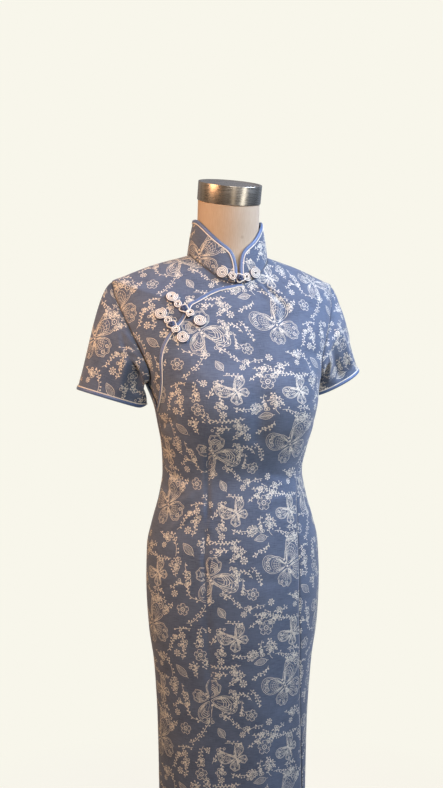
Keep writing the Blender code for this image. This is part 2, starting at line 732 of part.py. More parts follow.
def make_stand():
    socket_low = BASE_THICK + STAND_GAP
    socket_top = socket_low + SOCKET_HEIGHT
    cylinder("stand_base", BASE_RADIUS, 0, BASE_THICK, 48, STEEL, bevel=BASE_ROUND)
    cylinder("stand_socket", POLE_RADIUS + SOCKET_WALL, socket_low, socket_top, 24, STEEL, bevel=SOCKET_ROUND)
    cylinder("stand_pole", POLE_RADIUS, socket_top + STAND_GAP, FORM_BOTTOM - STAND_GAP, 20, STEEL)


COLLECTION = "Cheongsam on a dress form"
for old in list(bpy.data.objects):
    bpy.data.objects.remove(old, do_unlink=True)
bpy.context.scene.collection.children.link(bpy.data.collections.new(COLLECTION))

FIGURED = material("Blue-grey figured cotton", (0.125, 0.165, 0.262), 0.85)
BLUE = material("Blue satin binding", (0.095, 0.190, 0.420), 0.55)
WHITE = material("White piping", (0.80, 0.79, 0.75), 0.75)
COIL = material("White rolled cord", (0.78, 0.76, 0.70), 0.80)
LINEN = material("Cream form cover", (0.60, 0.50, 0.40), 0.80)
STEEL = material("Brushed steel", (0.52, 0.51, 0.49), 0.30, 1.0)

make_front()
make_underlap()
make_back()
make_collar()
make_opening_trim()
make_sleeves()
make_opening_frogs()
make_neck_frog()
make_form()
make_cap()
make_stand()
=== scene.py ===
"""Short-sleeved cheongsam on a limbless dress form: its looks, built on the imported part.

Metres, +Z up. The garment's front faces -Y, so its left side is at +X. A point of the body cloth is found
from an angle round the body (0 centre front, +90 left side, -90 right side, 180 centre back, in degrees)
and a level (the height of a ring of the cloth). Figures are drawn in millimetres, flat, and then laid on.
"""

import math

import bmesh
import bpy
import numpy as np
from mathutils import Matrix, Vector
from mathutils.kdtree import KDTree


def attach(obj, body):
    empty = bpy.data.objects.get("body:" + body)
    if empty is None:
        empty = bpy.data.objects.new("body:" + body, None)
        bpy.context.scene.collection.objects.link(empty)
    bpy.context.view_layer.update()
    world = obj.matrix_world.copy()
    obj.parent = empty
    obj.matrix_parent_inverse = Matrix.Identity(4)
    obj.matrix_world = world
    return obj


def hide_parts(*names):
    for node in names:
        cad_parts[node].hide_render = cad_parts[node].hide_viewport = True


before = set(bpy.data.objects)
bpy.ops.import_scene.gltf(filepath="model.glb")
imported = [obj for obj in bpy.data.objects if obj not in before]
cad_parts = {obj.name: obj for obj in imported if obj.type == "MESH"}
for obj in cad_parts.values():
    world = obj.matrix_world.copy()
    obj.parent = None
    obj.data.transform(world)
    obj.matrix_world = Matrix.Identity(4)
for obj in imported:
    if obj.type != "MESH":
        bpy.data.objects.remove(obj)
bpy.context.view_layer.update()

ROOT = "root"

# ---- Sizes repeated from the part, in metres ----
CLOTH = 0.0012
SEAM_GAP = 0.0002  # sewn seams, drawn closer than the part's solids stand
SHOULDER_GAP = 0.0003
TUCK = 0.0009  # how far a sewn edge lies under its neighbour
LAID_ON = 0.0005
UNDERLAP_DEPTH = 0.0024
HEM, UNDERARM, SHOULDER, NECK = 0.420, 1.190, 1.345, 1.400
BINDING_WIDTH = 0.0050
PIPING = 0.0016
FORM_CLEARANCE = 0.008
FORM_BOTTOM = 0.800
NECK_TILT = math.radians(16)
CAP_RADIUS, CAP_HEIGHT = 0.0545, 0.031
CAP_CENTRE = (0.0, 0.0030, 1.5135)
NECK_RINGS = (
    (1.4180, 0.0165, 0.0540, 0.35),
    (1.4400, 0.0140, 0.0534, 0.55),
    (1.4700, 0.0100, 0.0530, 0.80),
    (1.4982, 0.0074, 0.0530, 1.00),
)
POLE_RADIUS = 0.014
BASE_RADIUS, BASE_THICK = 0.180, 0.014
SOCKET_WALL, SOCKET_HEIGHT = 0.012, 0.035
STAND_GAP = 0.0003

RING_COLUMNS = (
    "level", "z_front", "z_side", "z_back", "half_width", "y_front", "y_side", "y_back", "square",
)
RINGS = (
    (0.420, 0.420, 0.420, 0.420, 0.1290, -0.122, -0.020, 0.090, 2.00),
    (0.600, 0.600, 0.600, 0.600, 0.1320, -0.126, -0.020, 0.094, 2.00),
    (0.709, 0.709, 0.709, 0.709, 0.1383, -0.131, -0.022, 0.096, 2.00),
    (0.780, 0.780, 0.780, 0.780, 0.1481, -0.134, -0.023, 0.100, 2.00),
    (0.853, 0.853, 0.853, 0.853, 0.1516, -0.136, -0.022, 0.103, 2.00),
    (0.915, 0.915, 0.915, 0.915, 0.1497, -0.131, -0.020, 0.102, 2.00),
    (0.957, 0.957, 0.957, 0.957, 0.1404, -0.126, -0.018, 0.092, 2.00),
    (0.998, 0.998, 0.998, 0.998, 0.1284, -0.119, -0.016, 0.082, 2.05),
    (1.040, 1.040, 1.040, 1.040, 0.1213, -0.112, -0.014, 0.077, 2.10),
    (1.081, 1.081, 1.081, 1.081, 0.1248, -0.120, -0.026, 0.074, 2.15),
    (1.122, 1.122, 1.122, 1.122, 0.1327, -0.128, -0.034, 0.076, 2.20),
    (1.150, 1.150, 1.150, 1.150, 0.1380, -0.130, -0.034, 0.080, 2.25),
    (1.190, 1.190, 1.190, 1.190, 0.1500, -0.126, -0.012, 0.087, 2.35),
    (1.250, 1.238, 1.252, 1.255, 0.1800, -0.108, 0.012, 0.098, 2.35),
    (1.300, 1.277, 1.308, 1.307, 0.1935, -0.092, 0.024, 0.102, 2.05),
    (1.330, 1.299, 1.341, 1.334, 0.1985, -0.081, 0.028, 0.1010, 1.70),
    (1.345, 1.310, 1.360, 1.348, 0.1995, -0.0755, 0.030, 0.0985, 1.55),
    (1.355, 1.318, 1.370, 1.359, 0.1780, -0.0715, 0.029, 0.0955, 1.55),
    (1.375, 1.334, 1.389, 1.383, 0.1295, -0.0625, 0.025, 0.0875, 1.70),
    (1.400, 1.356, 1.4055, 1.412, 0.0700, -0.0500, 0.0165, 0.077, 2.00),
)
BUST_RISE = 0.018
BUST_CENTRE = (0.078, 1.152)
BUST_SPREAD = (0.040, 0.046)
BUST_BRIDGE = 0.085
BUST_FRONT = 2.0

SEAM_COLUMNS = ("level", "left", "right")
SEAMS = (
    (0.420, 56.0, -112.0),
    (0.600, 48.0, -113.0),
    (0.727, 39.5, -114.0),
    (0.833, 33.5, -113.0),
    (0.915, 34.0, -109.0),
    (0.995, 43.0, -103.0),
    (1.050, 55.0, -97.0),
    (1.085, 72.0, -92.0),
    (1.120, 88.0, -90.0),
    (1.190, 90.0, -90.0),
)
SLIT_TOP, SLIT_GAP = 0.580, 0.0030
ARMHOLE_BACK = 24.0
ARMHOLE_FRONT = {"right": 21.0, "left": 38.0}
ARMHOLE_SKEW, ARMHOLE_FULLNESS = 0.62, 0.9

OPENING_COLUMNS = ("level", "angle")
OPENING = (
    (1.140, -93.0),
    (1.150, -88.0),
    (1.175, -72.0),
    (1.206, -60.6),
    (1.238, -51.2),
    (1.263, -44.5),
    (1.286, -38.5),
    (1.302, -35.0),
    (1.328, -29.4),
    (1.358, -25.2),
    (1.380, -22.6),
    (1.390, -15.0),
    (1.397, -5.5),
    (1.400, -1.9),
)
UNDERLAP_BOTTOM, UNDERLAP_REACH, UNDERLAP_NARROWS = 1.100, 13.0, 0.030
UNDERLAP_SINKS = 28.0
UNDERLAP_RISES = (1.250, 1.300)

COLLAR_HEIGHT = (0.057, 0.060, 0.064)
COLLAR_LEAN = 0.0110
COLLAR_FRONT, COLLAR_CORNER, COLLAR_STRAIGHT, COLLAR_SQUARE = 1.9, 28.0, 0.35, 4

SLEEVE_COLUMNS = ("name", "side", "hem_x", "hem_y", "hem_z", "tilt", "half_width", "half_depth")
SLEEVES = (
    ("right", -1, 0.2040, 0.021, 1.1620, 17.5, 0.0585, 0.046),
    ("left", 1, 0.2030, 0.030, 1.1810, 26.0, 0.0570, 0.046),
)
ARMHOLE_TUCK = 0.35  # degrees of a sleeve's edge that lie under the body's
CROWN_PULL, UNDERARM_PULL, FORWARD_PULL = (0.075, 0.035), (0.064, 0.026), 0.050

FROG_THICK = 0.0052
KNOT_RADIUS, KNOT_SHARE = 0.0032, 0.50
FROG_COILS = (
    ("right", "large", 0.00),
    ("right", "small", 0.29),
    ("left", "small", 0.71),
    ("left", "large", 1.00),
)
FROG_COLUMNS = ("name", "right_angle", "right_level", "left_angle", "left_level")
OPENING_FROGS = (("upper", -36.5, 1.3497, -22.9, 1.3129), ("lower", -43.4, 1.3138, -31.6, 1.2773))
NECK_FROG = 0.059
NECK_FROG_RISE = (0.0072, 0.0090)

# ---- Detail that only the looks have, in metres and degrees ----
FIGURE_LIFT = 0.00022  # the woven figure's threads stand this far proud of the ground
SEAM_DIP = 0.0009  # how far the cloth dips into a sewn seam
SEAM_DIP_REACH = 0.0035
DEGREE = 0.0023  # about how much cloth one degree round the body takes
OPENING_STEP, OPENING_EASINGS = 0.002, 60  # how finely and how often the opening's corners are eased

# Creases and soft troughs of the body cloth, as lines from one angle and level to another. Depth is
# outwards, so troughs are negative; reach is half the width.
CREASE_COLUMNS = ("angle_0", "level_0", "angle_1", "level_1", "reach", "depth")
BODY_CREASES = (
    (-34.0, 1.090, -32.0, 0.960, 0.0032, -0.0024),  # right waist dart, sewn
    (-32.0, 0.960, -30.5, 0.835, 0.0032, -0.0022),
    (-30.5, 0.835, -29.6, 0.690, 0.0060, -0.0016),
    (-38.0, 1.000, -29.0, 0.955, 0.0060, 0.0010),
    (4.0, 1.185, 2.0, 1.090, 0.0110, -0.0026),  # between the breasts
    (27.0, 1.394, 19.0, 1.305, 0.0045, -0.0030),  # from the collar down the left chest
    (22.0, 1.392, 15.0, 1.320, 0.0060, 0.0016),
    (-62.0, 0.955, -36.0, 0.990, 0.0050, 0.0018),  # drawn towards the waist
    (-70.0, 0.985, -44.0, 1.012, 0.0055, 0.0015),
    (-80.0, 1.040, -45.0, 1.032, 0.0050, -0.0018),
    (-85.0, 1.018, -52.0, 1.008, 0.0045, -0.0014),
    (-88.0, 1.120, -60.0, 1.135, 0.0060, -0.0018),
    (40.0, 1.030, 12.0, 1.045, 0.0060, -0.0012),
    (36.0, 1.005, 8.0, 0.998, 0.0060, 0.0010),
    (56.0, 1.110, 84.0, 1.155, 0.0060, -0.0020),
    (52.0, 1.190, 30.0, 1.215, 0.0080, 0.0014),
    (48.0, 1.235, 22.0, 1.262, 0.0080, -0.0012),
    (-56.0, 1.205, -30.0, 1.190, 0.0080, 0.0012),
    (-12.0, 0.880, 20.0, 0.868, 0.0120, -0.0012),
    (-40.0, 0.905, -14.0, 0.925, 0.0080, 0.0011),
    (150.0, 1.046, 210.0, 1.040, 0.0070, -0.0026),  # across the small of the back
    (140.0, 1.020, 196.0, 1.012, 0.0060, 0.0018),
    (160.0, 0.992, 222.0, 0.984, 0.0070, -0.0016),
    (112.0, 1.060, 140.0, 1.050, 0.0050, -0.0015),
    (222.0, 1.058, 250.0, 1.066, 0.0050, -0.0016),
    (146.0, 1.285, 118.0, 1.225, 0.0090, 0.0020),
    (214.0, 1.285, 242.0, 1.225, 0.0090, 0.0020),
    (163.0, 1.100, 162.0, 0.900, 0.0016, -0.0013),  # the two back waist darts
    (197.0, 1.100, 198.0, 0.900, 0.0016, -0.0013),
)
# The right waist dart takes out cloth, so the figure breaks along it: level, width taken out.
DART_ANGLES = ((0.835, -30.5), (0.960, -32.0), (1.090, -34.0))
DART_WIDTHS = ((0.835, 0.0), (0.990, 0.0210), (1.090, 0.0))

# Creases of the sleeves, in turns round the sleeve and shares of its length.
SLEEVE_CREASES = {
    "right": (
        (128.0, 0.30, 118.0, 0.82, 0.0135, -0.0072),  # the dent in front of the underarm
        (98.0, 0.34, 92.0, 0.92, 0.0085, 0.0030),
        (112.0, 0.06, 82.0, 0.34, 0.0045, -0.0026),
        (104.0, 0.04, 66.0, 0.22, 0.0050, 0.0018),
        (124.0, 0.16, 78.0, 0.50, 0.0048, -0.0022),
        (60.0, 0.10, 96.0, 0.34, 0.0060, -0.0016),
        (28.0, 0.16, 42.0, 0.70, 0.0100, 0.0016),
        (150.0, 0.50, 166.0, 1.00, 0.0070, 0.0024),
        (250.0, 0.30, 205.0, 0.80, 0.0080, -0.0040),
        (285.0, 0.25, 262.0, 0.75, 0.0090, 0.0024),
    ),
    "left": (
        (70.0, 0.08, 54.0, 0.90, 0.0070, 0.0046),
        (96.0, 0.16, 84.0, 0.96, 0.0085, -0.0042),
        (124.0, 0.30, 152.0, 0.82, 0.0075, -0.0026),
        (118.0, 0.22, 112.0, 0.86, 0.0060, 0.0022),
        (22.0, 0.12, 18.0, 0.66, 0.0090, 0.0014),
        (250.0, 0.30, 205.0, 0.80, 0.0080, -0.0040),
        (285.0, 0.25, 262.0, 0.75, 0.0090, 0.0024),
    ),
}
SLEEVE_DEGREE, SLEEVE_LENGTH = 0.0009, 0.170
CREASE_DEPTH = 1.6
HEM_RISE = 0.008  # how much higher a sleeve's hem is under the arm
SKIRT_FOLD = 0.0016  # depth of the skirt's soft upright folds
SKIRT_FOLD_TOP, SKIRT_FOLD_FADE = 0.80, 0.30
DART_CLEAR = 0.25  # degrees each side of the dart's line that carry no figure
# Where the figure's repeat begins on each flat piece.
FIGURE_STARTS = {
    "front": (0.000, 1.100),
    "underlap": (-0.040, 1.230),
    "back": (0.060, 1.130),
    "collar": (0.080, 0.020),
    "sleeve_right": (0.096 * -1 + 0.05, 0.118),
    "sleeve_left": (0.096 + 0.05, 0.118),
}

# Rows of the fine cloth grids.
FINE_ROWS = ((HEM, 0.940, 105), (0.944, 1.196, 64), (1.200, 1.341, 36), (SHOULDER, NECK, 30))
FINE_COLUMNS = {"front": 100, "underlap": 34, "back": 96}
COARSE_STEP = 9  # every which row and column is laid flat


# ---- Curves and surfaces, as in the part ----
def column(table, columns, name):
    """One named column of a table."""
    return np.array([row[columns.index(name)] for row in table], float)


def smooth(knots, values, at):
    """The smooth curve through a table's points that never overshoots them."""
    step = np.diff(knots)
    rise = np.diff(values) / step
    slope = np.zeros(len(knots))
    slope[0], slope[-1] = rise[0], rise[-1]
    before, after = rise[:-1], rise[1:]
    same_way = before * after > 0
    slope[1:-1][same_way] = 2 * (before * after)[same_way] / (before + after)[same_way]
    at = np.asarray(at, float)
    i = np.clip(np.searchsorted(knots, at) - 1, 0, len(step) - 1)
    t = (at - knots[i]) / step[i]
    near = (1 + 2 * t) * (1 - t) ** 2 * values[i] + t * (1 - t) ** 2 * step[i] * slope[i]
    far = t * t * (3 - 2 * t) * values[i + 1] + t * t * (t - 1) * step[i] * slope[i + 1]
    return near + far


def ring_value(name, level):
    return smooth(column(RINGS, RING_COLUMNS, "level"), column(RINGS, RING_COLUMNS, name), level)


def ease(t):
    """0 to 1 with a soft start and end."""
    t = np.clip(t, 0, 1)
    return t * t * (3 - 2 * t)


def unit(v):
    return v / np.maximum(np.linalg.norm(v, axis=-1, keepdims=True), 1e-12)


def circle(turns):
    """Points of a circle of radius 1 at turns in radians."""
    return np.stack([np.cos(turns), np.sin(turns)], axis=1)


def lengths_along(line):
    """How far along a line each of its points lies."""
    return np.concatenate([[0], np.cumsum(np.linalg.norm(np.diff(line, axis=0), axis=1))])


def at_lengths(values, along, at):
    """Rows of values known at some lengths along a line, at other lengths along it."""
    return np.stack([np.interp(at, along, known) for known in values.T], axis=1)


def body(angle, level, inset=0.0):
    """Points of the body cloth's outer face, or of a smaller body inside it."""
    angle, level = np.broadcast_arrays(np.asarray(angle, float), np.asarray(level, float))
    turn = np.radians(angle)
    across, along = np.sin(turn), np.cos(turn)
    square = ring_value("square", level)
    power_x, power_y = 2 / np.maximum(square, 2), 2 / square
    front = along > 0
    y_side = ring_value("y_side", level)
    y_end = np.where(front, ring_value("y_front", level) + inset, ring_value("y_back", level) - inset)
    x = (ring_value("half_width", level) - inset) * np.sign(across) * np.abs(across) ** power_x
    y = y_side + (y_end - y_side) * np.abs(along) ** power_y
    z_side = ring_value("z_side", level)
    z_end = np.where(front, ring_value("z_front", level), ring_value("z_back", level))
    z = z_side + (z_end - z_side) * along**2
    z = z - inset * ease((level - UNDERARM) / (NECK - UNDERARM))
    beside = np.abs(x) - BUST_CENTRE[0]
    spread = np.where(beside > 0, BUST_SPREAD[0], BUST_BRIDGE)
    away = (beside / spread) ** 2 + ((z - BUST_CENTRE[1]) / BUST_SPREAD[1]) ** 2
    swelling = BUST_RISE * np.exp(-away / 2) * np.minimum(1, along * BUST_FRONT)
    y = y - np.where(front, swelling, 0)
    return np.stack([x, y, z], axis=-1)


def body_normal(angle, level):
    """The body cloth's outward direction."""
    nudge_angle, nudge_level = 0.5, 0.001
    round_it = body(np.asarray(angle) + nudge_angle, level) - body(np.asarray(angle) - nudge_angle, level)
    low = np.maximum(np.asarray(level) - nudge_level, HEM)
    high = np.minimum(np.asarray(level) + nudge_level, NECK)
    return unit(np.cross(round_it, body(angle, high) - body(angle, low)))


def seam_angle(side, level):
    levels, angles = (column(SEAMS, SEAM_COLUMNS, c) for c in ("level", side))
    return smooth(levels, angles, np.minimum(level, UNDERARM))


def gap_angle(level, gap):
    depth = (ring_value("y_back", level) - ring_value("y_front", level)) / 2
    upper = (gap / depth) ** (ring_value("square", level) / 2)
    lower = gap / ring_value("half_width", level)
    return np.degrees(np.where(np.asarray(level) > UNDERARM, upper, lower))


def armhole_reach(level, most):
    share = np.clip((np.asarray(level, float) - UNDERARM) / (SHOULDER - UNDERARM), 0, 1)
    return most * np.sin(math.pi * share**ARMHOLE_SKEW) ** ARMHOLE_FULLNESS


def side_edge(side, level, reach, towards_front):
    """A body panel's edge at one side: its seam, slit, armhole and shoulder seam, set back for the gap."""
    sign = 1 if side == "left" else -1
    level = np.asarray(level, float)
    gap = np.select([level < SLIT_TOP, level < SHOULDER], [SLIT_GAP, SEAM_GAP], SHOULDER_GAP) / 2
    setback = armhole_reach(level, reach) + gap_angle(level, gap)
    return seam_angle(side, level) - sign * setback * (1 if towards_front else -1)


def smoothed_opening():
    """The opening's edge as levels and angles, its corners eased round."""
    levels, angles = (column(OPENING, OPENING_COLUMNS, c) for c in OPENING_COLUMNS)
    dense = np.linspace(levels[0], levels[-1], 400)
    line = np.stack([smooth(levels, angles, dense) * DEGREE, dense], axis=1)
    along = lengths_along(line)
    line = at_lengths(line, along, np.arange(0, along[-1], OPENING_STEP))
    for _ in range(OPENING_EASINGS):
        line[1:-1] = (line[:-2] + 2 * line[1:-1] + line[2:]) / 4
    return line[:, 1], line[:, 0] / DEGREE


def opening_angle(level):
    return np.interp(level, *SMOOTHED_OPENING)


def underlap_inset(angle, level):
    low_level, high_level = UNDERLAP_RISES
    from_side = ease((angle + 90) / UNDERLAP_SINKS)
    low = ease((high_level - level) / (high_level - low_level))
    return UNDERLAP_DEPTH * np.maximum(from_side, low)


def collar_height(angle):
    """The stand collar's height: a rounded front corner, then rising to the side and back."""
    away = np.abs(angle)
    corner, side, back = COLLAR_HEIGHT
    turn = np.radians(np.minimum(away, 90))
    in_front = corner + (side - corner) * np.sin(turn) ** 2
    behind = side + (back - side) * (away - 90) / 90
    plain = np.where(away < 90, in_front, behind)
    into_corner = np.clip((away - COLLAR_FRONT) / COLLAR_CORNER, 0, 1)
    rounded = (1 - (1 - into_corner) ** COLLAR_SQUARE) ** (2 / COLLAR_SQUARE)
    return plain * (COLLAR_STRAIGHT + (1 - COLLAR_STRAIGHT) * rounded)


def collar(angle, rise):
    """Points of the collar's outer face, rise metres above the neckline."""
    angle, rise = np.broadcast_arrays(np.asarray(angle, float), np.asarray(rise, float))
    base = body(angle, NECK)
    lean = COLLAR_LEAN * rise / COLLAR_HEIGHT[1]
    inwards = unit(base * np.array([1.0, 1.0, 0.0]))
    return base + np.array([0, 0, 1.0]) * (rise + SEAM_GAP)[..., None] - inwards * lean[..., None]


def collar_normal(angle, rise):
    round_it = collar(np.asarray(angle) + 0.5, rise) - collar(np.asarray(angle) - 0.5, rise)
    up = collar(angle, np.asarray(rise) + 0.001) - collar(angle, rise)
    return unit(np.cross(round_it, up))


def hermite(start, start_pull, end, end_pull, share):
    t = share
    return (start * (1 + 2 * t) * (1 - t) ** 2 + start_pull * t * (1 - t) ** 2
            + end * t * t * (3 - 2 * t) + end_pull * t * t * (t - 1))


def sleeve(row, turn, share):
    """Points of a sleeve's outer face. turn: 0 at the top, 90 at the front, 180 at the underarm and 270
    at the back. share: 0 at the armhole and 1 at the hem.
    """
    size = dict(zip(SLEEVE_COLUMNS, row))
    side = "left" if size["side"] > 0 else "right"
    turn, share = np.broadcast_arrays(np.asarray(turn, float) % 360, np.asarray(share, float))
    in_front = turn <= 180
    down = np.where(in_front, turn, 360 - turn) / 180
    level = SHOULDER + (UNDERARM - SHOULDER) * down
    reach = armhole_reach(level, np.where(in_front, ARMHOLE_FRONT[side], ARMHOLE_BACK))
    setback = reach + ARMHOLE_TUCK
    angle = seam_angle(side, level) - size["side"] * setback * np.where(in_front, 1, -1)
    start = body(angle, level)
    start[..., 0] -= size["side"] * TUCK
    start[..., 2] -= TUCK * np.maximum(np.cos(np.radians(turn)), 0)

    tilt = math.radians(size["tilt"])
    across = np.array([size["side"] * math.cos(tilt), 0, math.sin(tilt)])
    forward = np.array([0, -1.0, 0])
    down_arm = np.array([size["side"] * math.sin(tilt), 0, -math.cos(tilt)])
    centre = np.array([size["side"] * size["hem_x"], size["hem_y"], size["hem_z"]])
    cos, sin = np.cos(np.radians(turn))[..., None], np.sin(np.radians(turn))[..., None]
    end = centre + across * size["half_width"] * cos + forward * size["half_depth"] * sin

    topness = ((1 + cos) / 2) ** 1.5
    out, down = np.array([size["side"], 0, 0]), np.array([0, 0, -1.0])
    crown_pull = out * CROWN_PULL[0] + down * CROWN_PULL[1]
    underarm_pull = out * UNDERARM_PULL[0] + down * UNDERARM_PULL[1]
    start_pull = crown_pull * topness + underarm_pull * (1 - topness) + forward * FORWARD_PULL * sin
    length = np.linalg.norm(end - start, axis=-1, keepdims=True)
    return hermite(start, start_pull, end, down_arm * length, share[..., None])


SMOOTHED_OPENING = smoothed_opening()


# ---- Materials ----
def linear(colour):
    """A socket's colour from an sRGB hex colour."""
    parts = [int(colour[i:i + 2], 16) / 255 for i in (1, 3, 5)]
    return (*(c / 12.92 if c <= 0.04045 else ((c + 0.055) / 1.055) ** 2.4 for c in parts), 1.0)


def add_node(tree, kind, settings=None, inputs=None):
    """A node with its settings. An input given another node's output is linked, and any other is set."""
    made = tree.nodes.new("ShaderNode" + kind)
    for name, value in (settings or {}).items():
        setattr(made, name, value)
    for name, value in (inputs or {}).items():
        if isinstance(value, bpy.types.NodeSocket):
            tree.links.new(value, made.inputs[name])
        else:
            made.inputs[name].default_value = value
    return made


def start_material(name, **sockets):
    """A material whose Principled shader has these plain values: the material, its nodes and the shader."""
    made = bpy.data.materials.new(name)
    made.use_nodes = True
    shader = made.node_tree.nodes["Principled BSDF"]
    for socket, value in sockets.items():
        shader.inputs[socket.replace("_", " ")].default_value = value
    return made, made.node_tree, shader


def streaks(tree, coordinates, scale, detail=2.0, roughness=0.5):
    """Noise drawn out along a direction: its scale is per metre along each coordinate."""
    mapping = add_node(tree, "Mapping", None, {"Vector": coordinates, "Scale": scale})
    settings = {"noise_dimensions": "3D"}
    values = {"Vector": mapping.outputs["Vector"], "Scale": 1.0, "Detail": detail, "Roughness": roughness}
    return add_node(tree, "TexNoise", settings, values).outputs["Fac"]


def ranged(tree, value, low, high, to_low=0.0, to_high=1.0):
    return add_node(tree, "MapRange", None, {
        "Value": value, "From Min": low, "From Max": high, "To Min": to_low, "To Max": to_high,
    }).outputs["Result"]


def mixed(tree, share, a, b, blend="MIX"):
    """A mix of two colours, each a hex colour or a socket."""
    made = add_node(tree, "Mix", {"data_type": "RGBA", "blend_type": blend})
    for socket, value in ((0, share), (6, a), (7, b)):
        if isinstance(value, bpy.types.NodeSocket):
            tree.links.new(value, made.inputs[socket])
        else:
            made.inputs[socket].default_value = linear(value) if isinstance(value, str) else value
    return made.outputs[2]


def cloth_place(tree):
    return add_node(tree, "UVMap", {"uv_map": "cloth"}).outputs["UV"]


def object_place(tree):
    return add_node(tree, "TexCoord").outputs["Object"]


def slanting_lines(tree, degrees, scale):
    """Fine lines that run aslant over a strip of cloth."""
    slant = {"Vector": cloth_place(tree), "Rotation": (0, 0, math.radians(degrees))}
    return streaks(tree, add_node(tree, "Mapping", None, slant).outputs["Vector"], scale)


def dress(tree, shader, colour, height, strength, distance=0.0002):
    """Gives a shader its colour, and its relief from a height."""
    tree.links.new(colour, shader.inputs["Base Color"])
    bump = add_node(tree, "Bump", None, {"Height": height, "Strength": strength, "Distance": distance})
    tree.links.new(bump.outputs["Normal"], shader.inputs["Normal"])


def cotton():
    """Yarn-dyed cotton, plain woven in two blues: soft, matt, with slubs along the weft."""
    made, tree, shader = start_material(
        "Yarn-dyed blue cotton", Roughness=0.88, Sheen_Weight=0.25, Sheen_Roughness=0.45,
        Specular_IOR_Level=0.25,
    )
    flat = cloth_place(tree)
    # The yarns are 0.35 mm apart, too fine to show, so they are drawn in groups 1.1 mm wide.
    weft = streaks(tree, flat, (75.0, 900.0, 1.0), 3.0, 0.6)
    warp = streaks(tree, flat, (900.0, 75.0, 1.0), 3.0, 0.6)
    cloudy = streaks(tree, flat, (18.0, 26.0, 1.0))
    ground = mixed(tree, ranged(tree, weft, 0.30, 0.70), "#414C5D", "#5E6A80")
    yarns = mixed(tree, ranged(tree, warp, 0.35, 0.75, 0.0, 0.55), ground, "#394458")
    colour = mixed(tree, ranged(tree, cloudy, 0.3, 0.7, 0.0, 0.30), yarns, "#6A7890")
    height = add_node(tree, "Math", {"operation": "ADD"}, {0: weft, 1: warp}).outputs[0]
    dress(tree, shader, colour, height, 0.5, 0.0003)
    return made


def figure_thread():
    """Undyed cotton weft floats that make the figure: off-white, a little glossier than the ground."""
    made, tree, shader = start_material("Off-white cotton floats", Roughness=0.70, Sheen_Weight=0.15)
    worn = streaks(tree, object_place(tree), (300.0, 300.0, 300.0))
    colour = mixed(tree, ranged(tree, worn, 0.35, 0.70), "#D3D0C5", "#B9B5A9")
    tree.links.new(colour, shader.inputs["Base Color"])
    return made


def satin(name, dark, light):
    """Polyester satin cut on the bias: smooth, with a soft shine and faint slanting twill lines."""
    made, tree, shader = start_material(
        name, Roughness=0.42, Sheen_Weight=0.3, Sheen_Roughness=0.35, Specular_IOR_Level=0.5,
    )
    twill = slanting_lines(tree, 45, (120.0, 1400.0, 1.0))
    dress(tree, shader, mixed(tree, ranged(tree, twill, 0.3, 0.7), dark, light), twill, 0.35)
    return made


def white_cord(name):
    """Cotton-covered cord: off-white, matt, with the fine slanting lines of its bias cover."""
    made, tree, shader = start_material(name, Roughness=0.72, Sheen_Weight=0.2, Sheen_Roughness=0.4)
    cover = slanting_lines(tree, 35, (1300.0, 160.0, 1.0))
    dress(tree, shader, mixed(tree, ranged(tree, cover, 0.35, 0.7), "#E4E0D6", "#CBC6BA"), cover, 0.4)
    return made


def jersey():
    """Cotton jersey stretched over padding: cream, matt, fine upright ribs, a little soiled by handling."""
    made, tree, shader = start_material("Cream cotton jersey", Roughness=0.85, Sheen_Weight=0.2)
    place = object_place(tree)
    ribs = streaks(tree, place, (700.0, 700.0, 60.0))
    soil = streaks(tree, place, (14.0, 14.0, 22.0), 3.0)
    knit = mixed(tree, ranged(tree, ribs, 0.3, 0.7), "#A8967F", "#B09F89")
    worn = mixed(tree, ranged(tree, soil, 0.45, 0.8, 0.0, 0.35), knit, "#9A876D")
    # A darker spot, 5 mm across, at the front of the neck.
    away = add_node(tree, "VectorMath", {"operation": "DISTANCE"}, {0: place, 1: (0.0093, -0.0381, 1.4333)})
    spot = ranged(tree, away.outputs["Value"], 0.0018, 0.0036, 0.50, 0.0)
    dress(tree, shader, mixed(tree, spot, worn, "#8C7B66"), ribs, 0.15)
    return made


def brushed_steel(name, grain):
    """Brushed stainless steel: grey, with fine lines along its grain that draw its highlights out."""
    made, tree, shader = start_material(name, Metallic=1.0, Roughness=0.26)
    lines = streaks(tree, object_place(tree), grain, 3.0, 0.6)
    tree.links.new(ranged(tree, lines, 0.3, 0.7, 0.20, 0.34), shader.inputs["Roughness"])
    colour = mixed(tree, ranged(tree, lines, 0.3, 0.7), "#ACA599", "#C6C0B6")
    dress(tree, shader, colour, lines, 0.12, 0.0001)
    return made


COTTON, FLOATS = cotton(), figure_thread()
SATIN = satin("Blue bias satin", "#3F547C", "#5D759C")
# A second, darker copy of the blue binding satin for the coils' bands, the knots and the shanks: its
# darkness is painted shade, matched to the shaded walls of the coils.
SHADE_DARKENED_SATIN = satin("Blue bias satin darkened for painted shade", "#283858", "#3D5178")
PIPING_CORD = white_cord("White piping cord")
COIL_CORD = white_cord("White cotton cord")
JERSEY = jersey()
STEEL = brushed_steel("Brushed stainless steel", (30.0, 30.0, 1500.0))


# ---- Meshes ----
def mesh_piece(name, points, faces, finish, uv=None, replaces=()):
    """A piece of the object from points and faces, smooth, riding on the part."""
    mesh = bpy.data.meshes.new(name)
    mesh.from_pydata(np.asarray(points).reshape(-1, 3).tolist(), [], [list(f) for f in faces])
    if uv is not None:
        layer = mesh.uv_layers.new(name="cloth")
        corner = np.zeros(len(mesh.loops), np.int32)
        mesh.loops.foreach_get("vertex_index", corner)
        flat = np.asarray(uv, np.float32).reshape(-1, 2)[corner]
        layer.data.foreach_set("uv", flat.ravel())
    mesh.shade_smooth()
    made = bpy.data.objects.new(name, mesh)
    bpy.context.scene.collection.objects.link(made)
    mesh.materials.append(finish)
    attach(made, ROOT)
    if replaces:
        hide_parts(*replaces)
    return made


